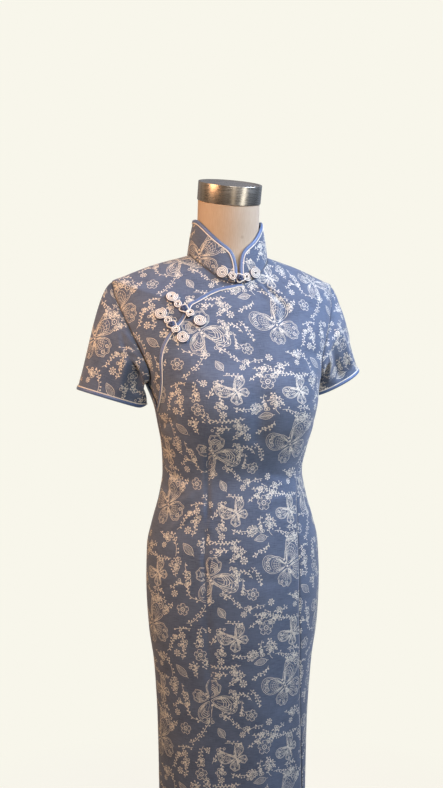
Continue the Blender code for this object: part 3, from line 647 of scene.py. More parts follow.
def grid_faces(rows, columns, closed=False):
    """Faces over a grid of rows and columns of points."""
    row, col = np.meshgrid(np.arange(rows - 1), np.arange(columns if closed else columns - 1), indexing="ij")
    after = (col + 1) % columns
    low, high = row * columns, (row + 1) * columns
    return np.stack([low + col, low + after, high + after, high + col], axis=-1).reshape(-1, 4)


def grid_normals(points):
    """Outward directions over a grid whose rows go up and whose columns go right, seen from outside."""
    return unit(np.cross(np.gradient(points, axis=1), np.gradient(points, axis=0)))


def creased(columns_at, rows_at, creases, column_size, row_size):
    """How far creases lift each point of a grid, from its two coordinates and their sizes in metres."""
    lift = np.zeros(np.broadcast_shapes(columns_at.shape, rows_at.shape))
    across, up = columns_at * column_size, rows_at * row_size
    for row in creases:
        crease = dict(zip(CREASE_COLUMNS, row))
        x0, y0 = crease["angle_0"] * column_size, crease["level_0"] * row_size
        dx, dy = crease["angle_1"] * column_size - x0, crease["level_1"] * row_size - y0
        along = ((across - x0) * dx + (up - y0) * dy) / (dx * dx + dy * dy)
        held = np.clip(along, 0, 1)
        away = np.hypot(across - x0 - held * dx, up - y0 - held * dy)
        fade = ease(np.minimum(held, 1 - held) * 5 + 0.12)
        lift = lift + CREASE_DEPTH * crease["depth"] * fade * np.exp(-((away / crease["reach"]) ** 2))
    return lift


def edge_dip(points, sides=(True, True)):
    """How far the cloth dips where it is sewn at its first and last columns."""
    step = np.linalg.norm(np.diff(points, axis=1), axis=-1)
    from_first = np.concatenate([np.zeros((len(points), 1)), np.cumsum(step, axis=1)], axis=1)
    from_last = from_first[:, -1:] - from_first
    dip = np.zeros(from_first.shape)
    for sewn, away in zip(sides, (from_first, from_last)):
        if sewn:
            dip = dip + SEAM_DIP * np.exp(-((away / SEAM_DIP_REACH) ** 2))
    return dip


# ---- Laying cloth flat, and figures on cloth ----
def aligned(flat, guess):
    """flat turned and moved so that it lies as guess does."""
    a, b = flat.reshape(-1, 2), guess.reshape(-1, 2)
    a0, b0 = a.mean(axis=0), b.mean(axis=0)
    (xx, xy), (yx, yy) = (a - a0).T @ (b - b0)
    turn = math.atan2(xy - yx, xx + yy)
    spin = np.array([[math.cos(turn), math.sin(turn)], [-math.sin(turn), math.cos(turn)]])
    return (flat - a0) @ spin + b0


def laid_flat(points, guess, steps=1500):
    """A grid of points laid flat so that its edges keep their lengths as nearly as they can: the cut."""
    whole, first, last = slice(None), slice(0, -1), slice(1, None)
    ends = (
        ((whole, first), (whole, last)),
        ((first, whole), (last, whole)),
        ((first, first), (last, last)),
        ((first, last), (last, first)),
    )
    springs = [(a, b, np.linalg.norm(points[b] - points[a], axis=-1, keepdims=True)) for a, b in ends]
    flat = guess.copy()
    for _ in range(steps):
        move = np.zeros_like(flat)
        for a, b, true in springs:
            gap = flat[b] - flat[a]
            fix = gap * (0.5 - 0.5 * true / np.linalg.norm(gap, axis=-1, keepdims=True))
            move[a] += fix
            move[b] -= fix
        flat += 0.25 * move
    return aligned(flat, guess)


def between(table, row, col):
    """A grid's values between its points, and how fast they change along its rows and columns."""
    i = np.clip(row.astype(int), 0, table.shape[0] - 2)
    j = np.clip(col.astype(int), 0, table.shape[1] - 2)
    s, t = (row - i)[:, None], (col - j)[:, None]
    a, b, c, d = table[i, j], table[i, j + 1], table[i + 1, j], table[i + 1, j + 1]
    value = (a * (1 - t) + b * t) * (1 - s) + (c * (1 - t) + d * t) * s
    return value, (c - a) * (1 - t) + (d - b) * t, (b - a) * (1 - s) + (d - c) * s


def cut_of(points, guess):
    """The flat cut of a fine grid of points, from every few of its rows and columns."""
    rows, columns = points.shape[:2]
    picked_rows = np.linspace(0, rows - 1, max(3, rows // COARSE_STEP)).round().astype(int)
    picked_columns = np.linspace(0, columns - 1, max(4, columns // (COARSE_STEP // 2))).round().astype(int)
    pick = np.ix_(picked_rows, picked_columns)
    off = laid_flat(points[pick], guess[pick]) - guess[pick]
    flat = np.zeros((rows, columns, 2))
    for k in range(2):
        wide = np.stack([np.interp(np.arange(columns), picked_columns, row) for row in off[..., k]])
        tall = np.stack([np.interp(np.arange(rows), picked_rows, line) for line in wide.T], axis=1)
        flat[..., k] = guess[..., k] + tall
    return flat


def found_on(panel, flat_points):
    """Where flat points lie on a panel's grid: their rows and columns, and which ones are on it."""
    uv = panel["uv"]
    rows, columns = uv.shape[:2]
    tree = KDTree(rows * columns)
    for k, (u, v) in enumerate(uv.reshape(-1, 2).tolist()):
        tree.insert((u, v, 0.0), k)
    tree.balance()
    nearest = np.array([tree.find((u, v, 0.0))[1] for u, v in flat_points.tolist()])
    row, col = (nearest // columns).astype(float), (nearest % columns).astype(float)
    for _ in range(5):
        value, by_row, by_col = between(uv, row, col)
        miss = flat_points - value
        det = by_row[:, 0] * by_col[:, 1] - by_row[:, 1] * by_col[:, 0]
        det = np.where(np.abs(det) < 1e-12, 1e-12, det)
        row = row + np.clip((miss[:, 0] * by_col[:, 1] - miss[:, 1] * by_col[:, 0]) / det, -2, 2)
        col = col + np.clip((by_row[:, 0] * miss[:, 1] - by_row[:, 1] * miss[:, 0]) / det, -2, 2)
        row, col = np.clip(row, -1, rows), np.clip(col, -1, columns)
    value, _, _ = between(uv, row, col)
    close = np.linalg.norm(flat_points - value, axis=1) < 0.0003
    on_it = close & (row >= 0) & (row <= rows - 1) & (col >= 0) & (col <= columns - 1)
    return row, col, on_it


# ---- The figure: butterflies, blossoms, leaves and sprigs, drawn flat in millimetres ----
GROUND_REPEAT = (240.0, 202.0)  # width and height of the repeat; each column is half a repeat lower
FINE, PLAIN, BOLD = 0.52, 0.76, 1.05  # widths of the figure's lines


def spaced(line, step):
    """The line again in even steps of about that length."""
    along = lengths_along(line)
    return at_lengths(line, along, np.linspace(0, along[-1], max(2, math.ceil(along[-1] / step) + 1)))


def curve(points, closed=False, step=2.4):
    """A smooth line through points."""
    p = np.asarray(points, float)
    p = np.vstack([p[-1], p, p[0], p[1]] if closed else [2 * p[0] - p[1], p, 2 * p[-1] - p[-2]])
    t = np.linspace(0, 1, 8, endpoint=False)[:, None]
    parts = []
    for a, b, c, d in zip(p, p[1:], p[2:], p[3:]):
        parts.append(0.5 * (2 * b + (c - a) * t + (2 * a - 5 * b + 4 * c - d) * t**2
                            + (3 * b - a - 3 * c + d) * t**3))
    return spaced(np.vstack([*parts, p[-2][None]]), step)


def headings(line, closed):
    """The direction of a line at each of its points."""
    if closed:
        return unit(np.roll(line, -1, axis=0) - np.roll(line, 1, axis=0))
    return unit(np.gradient(line, axis=0))


def turned(points, turn, size=1.0, at=(0.0, 0.0), mirror=False):
    """Points turned by an angle in degrees, scaled and moved."""
    p = np.asarray(points, float) * (-1 if mirror else 1, 1) * size
    cos, sin = math.cos(math.radians(turn)), math.sin(math.radians(turn))
    return p @ np.array([[cos, sin], [-sin, cos]]) + np.asarray(at, float)


def towards(angle):
    """A step of length 1 at an angle in radians."""
    return np.array([math.cos(angle), math.sin(angle)])


class Drawing:
    """A flat figure of lines and filled shapes, as points and triangles that face the viewer."""

    def __init__(self):
        self.points, self.triangles, self.count = [], [], 0

    def add(self, points, triangles):
        self.points.append(np.asarray(points, float))
        self.triangles.append(np.asarray(triangles, int) + self.count)
        self.count += len(points)

    def line(self, points, width=PLAIN, closed=False):
        points = np.asarray(points, float)
        ahead = headings(points, closed)
        aside = np.stack([-ahead[:, 1], ahead[:, 0]], axis=1) * (width / 2)
        n = len(points)
        k = np.arange(n if closed else n - 1)
        after = (k + 1) % n
        quads = np.stack([k + n, after + n, after, k], axis=1)
        halves = np.vstack([quads[:, :3], quads[:, [0, 2, 3]]])
        self.add(np.vstack([points + aside, points - aside]), halves)

    def fill(self, outline):
        outline = np.asarray(outline, float)
        after = np.roll(outline, -1, axis=0)
        if (outline[:, 0] * after[:, 1] - outline[:, 1] * after[:, 0]).sum() < 0:
            outline = outline[::-1]
        n = len(outline)
        k = np.arange(1, n - 1)
        self.add(outline, np.stack([np.zeros(n - 2, int), k, k + 1], axis=1))

    def put(self, other, at, turn=0.0, size=1.0, mirror=False):
        for points, triangles in zip(other.points, other.local()):
            self.add(turned(points, turn, size, at, mirror), triangles[:, ::-1] if mirror else triangles)

    def local(self):
        start = 0
        for points, triangles in zip(self.points, self.triangles):
            yield triangles - start
            start += len(points)

    def ring(self, centre, radius, width=PLAIN, sides=10):
        turns = np.linspace(0, 2 * math.pi, sides, endpoint=False)
        self.line(circle(turns) * radius + centre, width, closed=True)

    def dot(self, centre, radius, sides=6):
        turns = np.linspace(0, 2 * math.pi, sides, endpoint=False)
        self.fill(circle(turns) * radius + centre)

    def leaf(self, foot, turn, length, width):
        shape = ((0, 0), (0.30, 0.42), (0.62, 0.40), (1, 0), (0.62, -0.40), (0.30, -0.42))
        self.fill(turned(np.array(shape) * (length, width), turn, at=foot))


# The figure is a design of its own. Its wings, petals and leaves are worked out from the sizes below, in
# millimetres, and a seeded draw lays them out over the repeat.
WING_COLUMNS = ("length", "width", "turn", "bend", "scallops", "eyes")
# Each butterfly: its fore wing, its hind wing, its body's length and where bars cross its wings.
BUTTERFLIES = {
    "eyed": ((52, 35, 31, 0.14, 0, 3), (35, 31, -43, -0.06, 5, 2), 29, ()),
    "barred": ((44, 28, 36, 0.18, 0, 0), (30, 25, -38, -0.10, 4, 0), 24, (0.50, 0.60, 0.70, 0.80)),
    "small": ((28, 19, 33, 0.14, 0, 2), (19, 16, -42, -0.06, 3, 1), 15, ()),
}
# Each motif: its kind, how many a repeat holds, and how far it reaches.
MOTIFS = (
    ("eyed", 1, 40.0),
    ("barred", 1, 33.0),
    ("small", 2, 21.0),
    ("blossom", 4, 12.0),
    ("leaf", 3, 11.0),
    ("ring", 9, 6.0),
)
FIGURE_SEED = 12
PLACE_TRIES = 40  # places looked at for each motif; the roomiest is taken
SPRIG_STEP, SPRIG_STEPS, SPRIG_ROOM, SPRIG_TRIES = 7.0, 17, 4.3, 1400
SPRIG_LEAST = 4  # points in the shortest sprig
SPRIG_REACH = 3.6
BUNCH_GAP, BUNCH_STEM = 3.7, 9  # least room between a bunch's flowers, and the longest stem between two


def wing_edge(length, width, bend, scallops):
    """A wing's edge from its root along +X: narrow at the root, full towards its rounded or frilled tip."""
    t = np.linspace(0, 1, 36, endpoint=False)
    outwards = np.sin(math.pi * t) ** 2
    aside = np.sin(2 * math.pi * t) * np.sin(math.pi * t) ** 0.8
    x = length * outwards
    y = width / 2 * aside / aside.max() + bend * length * outwards ** 2
    frill = 1 + 0.045 * np.cos(4 * math.pi * scallops * t) * outwards * (scallops > 0)
    return np.stack([x, y], axis=1) * frill[:, None]


def wing(row, bars):
    """A wing: its double edge, ribs from its root, a netted or barred middle, and rings near its tip."""
    size = dict(zip(WING_COLUMNS, row))
    made = Drawing()
    edge = curve(wing_edge(size["length"], size["width"], size["bend"], size["scallops"]), closed=True)
    made.line(edge, PLAIN, closed=True)
    centre = edge.mean(axis=0)
    made.line(centre + (edge - centre) * 0.86, FINE, closed=True)
    ribs = edge[3:-3:6 if bars else 4]
    for rib in ribs:
        made.line(np.outer((0.24, 0.42, 0.60), rib), FINE)
    middle = ribs[len(ribs) // 4:len(ribs) * 3 // 4 + 1] if bars else ribs
    for reach in bars or (0.34, 0.44, 0.54, 0.64):
        made.line(middle * reach, BOLD if bars else FINE)
    for rib in middle:
        made.dot(rib * (0.90 if bars else 0.74), 0.8, 5)
    for k in range(size["eyes"]):
        aside = (k - (size["eyes"] - 1) / 2) / size["eyes"]
        spot = np.array([size["length"] * (0.80 - 0.10 * abs(aside)), size["width"] * aside * 0.72])
        spot[1] += size["bend"] * size["length"] * 0.6
        radius = size["length"] * (0.082 - 0.012 * k)
        made.ring(spot, radius, BOLD)
        made.dot(spot, radius * 0.28)
    return made


def feeler(drawing, points):
    """A butterfly's feeler, ending in a bead."""
    line = curve(points)
    drawing.line(line, PLAIN)
    drawing.dot(line[-1], 1.1)


def segments(drawing, head, tail, width):
    """A body as a row of short bands."""
    head, tail = np.asarray(head, float), np.asarray(tail, float)
    heading = math.degrees(math.atan2(*(tail - head)[::-1]))
    for k in range(5):
        drawing.leaf(head + (tail - head) * k / 5, heading, 4.2, width * (1 - 0.1 * k))


def butterfly(kind):
    """A butterfly from above with its head up, the wings of its far side foreshortened."""
    fore, hind, body_length, bars = BUTTERFLIES[kind]
    made = Drawing()
    for side, size in ((1, 1.0), (-1, 0.84)):
        for row, high in ((fore, 0.14), (hind, -0.06)):
            turn = row[WING_COLUMNS.index("turn")]
            made.put(wing(row, bars), (side * 1.6, high * body_length), side * turn, size, mirror=side < 0)
        reach = body_length * side
        feeler(made, ((side, body_length * 0.50), (reach * 0.28, body_length * 0.86),
                      (reach * 0.70, body_length * 1.04), (reach * 1.05, body_length * 1.00)))
    segments(made, (0, body_length * 0.55), (0, -body_length * 0.55), 3.6 + body_length * 0.08)
    return made


def blossom(radius):
    """An open blossom: five notched petals, a thick ring at its heart and stamens."""
    made = Drawing()
    turns = np.linspace(0, 2 * math.pi, 60, endpoint=False)
    petal = np.abs(np.sin(2.5 * turns))
    edge = radius * (0.56 + 0.46 * petal ** 0.7 - 0.14 * petal ** 24)
    made.line(curve(circle(turns) * edge[:, None], closed=True, step=2.0), closed=True)
    made.ring((0, 0), radius * 0.30, BOLD * 1.2, 10)
    made.dot((0, 0), radius * 0.08)
    for k in range(10):
        tip = towards(math.radians(36 * k + 18)) * radius
        made.line(np.array([tip * 0.44, tip * (0.60 if k % 2 else 0.74)]), FINE)
        if k % 2 == 0:
            made.dot(tip * 0.76, 0.7, 5)
    return made


def ring_flower(radius):
    """A little round flower: beads round a ring."""
    made = Drawing()
    made.ring((0, 0), radius * 0.42, BOLD, 8)
    for k in range(7):
        made.dot(towards(math.radians(360 / 7 * k)) * radius * 0.88, radius * 0.29, 5)
    made.dot((0, 0), radius * 0.12, 5)
    return made


def large_leaf(length, width):
    """A leaf with a midrib and slanting veins, lying along X about its middle."""
    made = Drawing()
    t = np.linspace(0, 1, 13)
    x, half = length * (t - 0.5), width / 2 * np.sin(math.pi * t ** 0.85)
    upper, lower = np.stack([x, half], axis=1), np.stack([x, -half], axis=1)
    made.line(curve(np.vstack([upper, lower[-2:0:-1]]), closed=True), PLAIN, closed=True)
    made.line(np.array([(-length * 0.62, 0), (length * 0.40, 0)]), PLAIN)
    for k in range(3, 11):
        for side in (1, -1):
            made.line(np.array([(x[k - 1], 0), (x[k], side * half[k] * 0.72)]), FINE)
    return made


def sprig(drawing, points, chance):
    """A thin stem crowded with short leaves and buds, uneven along its length."""
    line = curve(points, step=3.1)
    drawing.line(line, PLAIN)
    for k in range(1, len(line) - 1):
        ahead = line[k + 1] - line[k - 1]
        heading = math.degrees(math.atan2(ahead[1], ahead[0]))
        side = 1 if k % 2 else -1
        grows = chance.random()
        if grows < 0.46:
            turn = heading + side * chance.uniform(36, 66)
            drawing.leaf(line[k], turn, chance.uniform(3.8, 5.4), chance.uniform(2.0, 2.6))
        elif grows < 0.88:
            reach, turn = chance.uniform(2.4, 4.4), heading + side * chance.uniform(50, 100)
            tip = turned(((reach, 0),), turn, at=line[k])[0]
            drawing.line(np.array([line[k], tip]), FINE)
            drawing.dot(tip, chance.uniform(1.1, 1.6))
    drawing.dot(line[-1], 1.6)


def bunch(drawing, at, half_width, half_height, turn, count, chance):
    """Little flowers, buds and leaves crowded together in an oval and joined by fine stems."""
    kept = []
    for _ in range(count * 12):
        away, round_it = math.sqrt(chance.random()), chance.uniform(0, 2 * math.pi)
        inside = (half_width * away * math.cos(round_it), half_height * away * math.sin(round_it))
        spot = turned((inside,), turn, at=at)[0]
        gaps = [math.dist(spot, other) for other in kept]
        if not kept or min(gaps) > BUNCH_GAP:
            if kept and min(gaps) < BUNCH_STEM:
                drawing.line(np.array([spot, kept[gaps.index(min(gaps))]]), FINE)
            kept.append(spot)
            grows = chance.random()
            if grows < 0.34:
                drawing.ring(spot, chance.uniform(1.9, 2.5), 0.85, 7)
            elif grows < 0.72:
                drawing.dot(spot, chance.uniform(1.0, 1.5))
            else:
                drawing.leaf(spot, chance.uniform(0, 360), chance.uniform(3.8, 5.2), 2.1)
        if len(kept) == count:
            break


def motif(kind, chance):
    if kind in BUTTERFLIES:
        return butterfly(kind)
    if kind == "leaf":
        return large_leaf(chance.uniform(19, 27), chance.uniform(9, 12))
    return blossom(chance.uniform(10, 13)) if kind == "blossom" else ring_flower(chance.uniform(4.2, 6.0))


def room_at(spot, taken):
    """The room round a spot, in this repeat and those beside it. taken has rows of x, y and reach."""
    if not taken:
        return math.inf
    width, height = GROUND_REPEAT
    shifts = [(i * width, j * height + height / 2 * (i % 2)) for i in (-1, 0, 1) for j in (-2, -1, 0, 1)]
    rows = np.array(taken)
    away = np.asarray(spot) - rows[:, None, :2] - np.array(shifts)
    return (np.linalg.norm(away, axis=-1).min(axis=1) - rows[:, 2]).min()


def ground_figure():
    """One repeat of the figure: its points and triangles, in metres."""
    chance = np.random.default_rng(FIGURE_SEED)
    made, taken = Drawing(), []
    for kind, count, reach in MOTIFS:
        for _ in range(count):
            spots = chance.uniform((0, 0), GROUND_REPEAT, (PLACE_TRIES, 2))
            spot = max(spots, key=lambda at: room_at(at, taken))
            made.put(motif(kind, chance), spot, chance.uniform(0, 360), mirror=chance.random() < 0.5)
            taken.append((*spot, reach))
    large = list(taken)
    for _ in range(SPRIG_TRIES):
        line = [chance.uniform((0, 0), GROUND_REPEAT)]
        heading, bend = chance.uniform(0, 2 * math.pi), chance.normal(0, 0.10)
        while len(line) <= SPRIG_STEPS and room_at(line[-1], taken) > SPRIG_ROOM:
            heading += bend + chance.normal(0, 0.28)
            line.append(line[-1] + SPRIG_STEP * towards(heading))
        line = line[:-1]
        if len(line) < SPRIG_LEAST:
            continue
        sprig(made, line, chance)
        taken += [(*at, SPRIG_REACH) for at in line]
        half = min(chance.uniform(6.0, 12.5), room_at(line[-1], large) + 1.5)
        if chance.random() < 0.85:
            half_height, turn = half * chance.uniform(0.65, 0.95), chance.uniform(0, 180)
            bunch(made, line[-1], half, half_height, turn, round(half ** 2 / 6), chance)
            taken.append((*line[-1], half * 0.9))
    return np.vstack(made.points) / 1000, np.vstack(made.triangles)


FIGURE_POINTS, FIGURE_TRIANGLES = ground_figure()


def repeats(low, high):
    """The figure's repeats whose points may fall between two corners of flat cloth, in metres."""
    width, height = (size / 1000 for size in GROUND_REPEAT)
    reach_low, reach_high = FIGURE_POINTS.min(axis=0), FIGURE_POINTS.max(axis=0)
    first, last = math.floor((low[0] - reach_high[0]) / width), math.ceil((high[0] - reach_low[0]) / width)
    points, triangles, count = [], [], 0
    for i in range(first, last + 1):
        drop = height / 2 * (i % 2)
        bottom = math.floor((low[1] - reach_high[1] - drop) / height)
        top = math.ceil((high[1] - reach_low[1] - drop) / height)
        for j in range(bottom, top + 1):
            moved = FIGURE_POINTS + (i * width, j * height + drop)
            near = ((moved > np.asarray(low) - 0.002) & (moved < np.asarray(high) + 0.002)).all(axis=1)
            kept = FIGURE_TRIANGLES[near[FIGURE_TRIANGLES].all(axis=1)]
            if len(kept):
                used, kept = np.unique(kept, return_inverse=True)
                points.append(moved[used])
                triangles.append(kept.reshape(-1, 3) + count)
                count += len(used)
    return np.vstack(points), np.vstack(triangles)


def lay_figure(name, panel, start, zones=(None,)):
    """The woven figure on a panel, as threads just proud of its cloth. start is where the repeat begins on
    the flat cloth. Each zone says how the cloth is shifted there and which of its points it holds.
    """
    uv = panel["uv"].reshape(-1, 2)
    margin = 0.03
    points, triangles = repeats(uv.min(axis=0) - start - margin, uv.max(axis=0) - start + margin)
    points = points + start
    shown, faces, count = [], [], 0
    for zone in zones:
        flat = points.copy()
        if zone is not None:
            flat[:, 0] += zone["shift"](flat[:, 1])
        row, col, on_it = found_on(panel, flat)
        if zone is not None:
            where = between(panel["place"], np.clip(row, 0, None), np.clip(col, 0, None))[0]
            on_it &= zone["holds"](where[:, 0], where[:, 1])
        kept = triangles[on_it[triangles].all(axis=1)]
        used, kept = np.unique(kept, return_inverse=True)
        at = between(panel["points"], row[used], col[used])[0]
        out = unit(between(panel["normals"], row[used], col[used])[0])
        shown.append(at + out * FIGURE_LIFT)
        faces.append(kept.reshape(-1, 3) + count)
        count += len(used)
    return mesh_piece(name, np.vstack(shown), np.vstack(faces).tolist(), FLOATS)


# ---- The garment's cloth ----
def cloth_piece(name, panel, node, closed=False):
    """A thin shell of cloth from a panel's grid, which is held inside by its thickness."""
    points, uv = panel["points"], panel["uv"]
    if closed:
        points, uv = points[:, :-1], uv[:, :-1]
    faces = grid_faces(*points.shape[:2], closed=closed)
    made = mesh_piece(name, points, faces.tolist(), COTTON, uv=uv, replaces=(node,))
    wall = made.modifiers.new("Cloth", "SOLIDIFY")
    wall.thickness = CLOTH
    wall.offset = -1
    return made


def made_up(name, panel, zones=(None,), closed=False):
    """A panel's cloth, the panel itself and the figure on it."""
    piece = cloth_piece(f"{name}_cloth", panel, name, closed)
    return piece, panel, lay_figure(f"{name}_figure", panel, np.array(FIGURE_STARTS[name]), zones)


def panel_of(points, guess, **more):
    """A panel: its points, their outward directions and where they lie on the flat cut."""
    return {"points": points, "normals": grid_normals(points), "uv": cut_of(points, guess), **more}


def arcs_round(levels, angle, centre):
    """How much cloth lies between the centre line and each angle, level by level."""
    dense = np.linspace(centre - 180, centre + 180, 361)
    out = np.zeros_like(angle)
    for k, level in enumerate(levels):
        arc = lengths_along(body(dense, level)[:, :2])
        out[k] = np.interp(angle[k], dense, arc) - np.interp(centre, dense, arc)
    return out


def body_panel(levels, right, left, columns, centre, inset=None, sewn=(True, True)):
    """A body panel with its creases and folds. It also holds each point's angle and level."""
    angle = right[:, None] + (left - right)[:, None] * np.linspace(0, 1, columns)
    level = np.broadcast_to(levels[:, None], angle.shape)
    points = body(angle, level)
    lift = creased(angle, level, BODY_CREASES, DEGREE, 1.0) - edge_dip(points, sewn)
    folds = np.sin(np.radians(angle * 7 + 40)) + 0.6 * np.sin(np.radians(angle * 4 - 25))
    lift = lift + ease((SKIRT_FOLD_TOP - level) / SKIRT_FOLD_FADE) * SKIRT_FOLD * folds
    if inset is not None:
        lift = lift - inset(angle, level)
    points = points + body_normal(angle, level) * lift[..., None]
    guess = np.stack([arcs_round(levels, angle, centre), points[..., 2]], axis=-1)
    return panel_of(points, guess, place=np.stack([angle, level], axis=-1))


def dart_shift(height):
    """How much cloth the right waist dart takes out at a height."""
    return np.interp(height, *zip(*DART_WIDTHS))


def dart_angle(level):
    return np.interp(level, *zip(*DART_ANGLES))


FRONT_ZONES = (
    {"shift": np.zeros_like, "holds": lambda angle, level: angle > dart_angle(level) + DART_CLEAR},
    {"shift": dart_shift, "holds": lambda angle, level: angle < dart_angle(level) - DART_CLEAR},
)


def fine_levels(bottom):
    levels = np.concatenate([np.linspace(*row) for row in FINE_ROWS])
    return levels[levels >= bottom - 1e-9]


def make_front():
    levels = fine_levels(HEM)
    left = side_edge("left", levels, ARMHOLE_FRONT["left"], True)
    side = side_edge("right", levels, 0.0, True)
    right = np.where(levels < OPENING[0][0], side, np.maximum(opening_angle(levels), side))
    panel = body_panel(levels, right, left, FINE_COLUMNS["front"], 0.0, sewn=(False, True))
    return made_up("front", panel, FRONT_ZONES)


def make_underlap():
    levels = fine_levels(UNDERLAP_BOTTOM)
    right = side_edge("right", levels, ARMHOLE_FRONT["right"], True)
    reach = UNDERLAP_REACH * ease((NECK - levels) / UNDERLAP_NARROWS)
    left = np.minimum(opening_angle(levels) + reach, -COLLAR_FRONT)
    panel = body_panel(levels, right, left, FINE_COLUMNS["underlap"], 0.0, underlap_inset, (True, False))
    return made_up("underlap", panel)


def make_back():
    levels = fine_levels(HEM)
    left = side_edge("left", levels, ARMHOLE_BACK, False)
    right = side_edge("right", levels, ARMHOLE_BACK, False) + 360
    return made_up("back", body_panel(levels, left, right, FINE_COLUMNS["back"], 180.0))


def make_collar():
    corner = COLLAR_FRONT + COLLAR_CORNER
    near = COLLAR_FRONT + COLLAR_CORNER * (1 - np.cos(np.linspace(0, math.pi / 2, 22)))
    half = np.concatenate([near, np.linspace(corner, 180, 76)[1:]])
    angle = np.concatenate([half, 360 - half[:-1][::-1]])
    signed = np.where(angle > 180, angle - 360, angle)
    shares = np.linspace(0, 1, 26)[:, None]
    rise = collar_height(signed)[None, :] * shares
    points = collar(np.broadcast_to(signed, rise.shape), rise)
    points[0] += (0, 0, -2 * TUCK) - unit(points[0] * (1, 1, 0)) * TUCK
    # The stand bows out a little between its seam and its top edge.
    bulge = np.sin(math.pi * shares)
    bow = 0.0012 * bulge + 0.0006 * np.sin(np.radians(signed * 5)) * bulge
    points = points + collar_normal(np.broadcast_to(signed, rise.shape), rise) * bow[..., None]
    arc = lengths_along(points[0, :, :2])
    guess = np.stack([np.broadcast_to(arc - arc[-1] / 2, rise.shape), rise], axis=-1)
    return made_up("collar", panel_of(points, guess))


def closed_round(normals):
    """Outward directions whose first and last columns, which meet, are made one."""
    normals[:, 0] = normals[:, -1] = unit(normals[:, 0] + normals[:, -1])
    return normals


def make_sleeve(row):
    name, side = row[:2]
    turns = np.linspace(180, 540, 89)
    if side > 0:
        turns = turns[::-1]
    shares = np.linspace(1, 0, 42)[:, None]
    turn, share = np.broadcast_arrays(turns[None, :], shares)
    points = sleeve(row, turn, share)
    underneath = np.maximum(-np.cos(np.radians(turn)), 0) ** 8
    points[..., 2] += HEM_RISE * underneath * share ** 3
    outward = closed_round(grid_normals(points))
    seen = np.where(turn >= 360, turn - 360, turn)
    lift = creased(seen, share, SLEEVE_CREASES[name], SLEEVE_DEGREE, SLEEVE_LENGTH)
    lift = lift * ease(share * 8) * ease((1 - share) * 12 + 0.25)
    points = points + outward * lift[..., None]
    round_it = np.linalg.norm(np.diff(points[len(points) // 2], axis=0), axis=1).sum()
    flat_across = np.linspace(-round_it / 2, round_it / 2, len(turns))
    guess = np.stack(np.broadcast_arrays(flat_across[None, :], (1 - shares) * SLEEVE_LENGTH), axis=-1)
    panel = panel_of(points, guess)
    closed_round(panel["normals"])
    return made_up(f"sleeve_{name}", panel, closed=True)


# ---- Bindings and pipings ----
# The binding's section: across the cloth from its edge, and out from its face, in millimetres.
BINDING_SECTION = (
    (4.9, -1.9), (3.0, -2.5), (0.9, -2.4), (-0.5, -1.3), (-0.6, 0.0), (0.1, 1.1), (1.3, 1.7), (2.6, 1.8),
    (4.0, 1.6), (4.9, 0.9), (5.1, 0.2), (5.0, -0.7),
)


def end_faces(rows, columns):
    """The two faces that close a tube of so many rows of points."""
    return [list(range(columns))[::-1], list(range((rows - 1) * columns, rows * columns))]


def sweep(name, line, inward, outward, section, finish, closed=False, node=None, start=0.0):
    """A closed section carried along a line: section gives distances inward and outward, in metres."""
    section = np.asarray(section, float)
    inwards, outwards = section[None, :, 0, None] + start, section[None, :, 1, None]
    points = line[:, None, :] + (inward[:, None, :] * inwards + outward[:, None, :] * outwards)
    rows, sides = len(line), len(section)
    faces = (grid_faces(rows + (1 if closed else 0), sides, closed=True) % (rows * sides)).tolist()
    if not closed:
        faces += end_faces(rows, sides)
    along, round_it = lengths_along(line), lengths_along(section)
    uv = np.stack(np.broadcast_arrays(along[:, None], round_it[None, :]), axis=-1)
    made = mesh_piece(name, points, faces, finish, uv=uv, replaces=(node,) if node else ())
    shape = bmesh.new()
    shape.from_mesh(made.data)
    bmesh.ops.recalc_face_normals(shape, faces=shape.faces)
    shape.to_mesh(made.data)
    shape.free()
    return made


def round_section(radius, sides=8):
    return circle(np.linspace(0, 2 * math.pi, sides, endpoint=False)) * radius


def trim(name, line, inward, outward, closed=False, setback=0.0):
    """The satin binding round an edge and the white piping inside it."""
    section = np.array(BINDING_SECTION) / 1000
    binding = sweep(f"{name}_binding_satin", line, inward, outward, section, SATIN, closed,
                    f"{name}_binding", setback)
    radius = PIPING / 2
    middle = line + inward * (setback + BINDING_WIDTH + radius) + outward * (LAID_ON * 0.6 + radius)
    piping = sweep(f"{name}_piping_cord", middle, inward, outward, round_section(radius * 1.08), PIPING_CORD,
                   closed, f"{name}_piping")
    return [binding, piping]


def across(edge, outward):
    """Across an edge to the right of its direction, seen from outside."""
    return unit(np.cross(np.gradient(edge, axis=0), outward))


def even(line, *others, step=0.0022):
    """A line and what goes along it, in even steps."""
    along = lengths_along(line)
    at = np.linspace(0, along[-1], math.ceil(along[-1] / step) + 1)
    return [at_lengths(item, along, at) for item in (line, *others)]


def collar_trim():
    rise_front = np.linspace(0.0008, collar_height(COLLAR_FRONT) * 0.9, 8)
    into_corner = 1 - np.cos(np.linspace(0.06, math.pi / 2, 40))
    top = np.concatenate([
        COLLAR_FRONT + COLLAR_CORNER * into_corner,
        np.linspace(COLLAR_FRONT + COLLAR_CORNER, 180, 90)[1:],
    ])
    half_angle = np.concatenate([np.full(8, COLLAR_FRONT), top])
    half_rise = np.concatenate([rise_front, collar_height(top)])
    angle = np.concatenate([half_angle, -half_angle[:-1][::-1]])
    rise = np.concatenate([half_rise, half_rise[:-1][::-1]])
    edge, outward = even(collar(angle, rise), collar_normal(angle, rise))
    outward = unit(outward)
    return trim("collar", edge, across(edge, outward), outward, setback=0.0002)


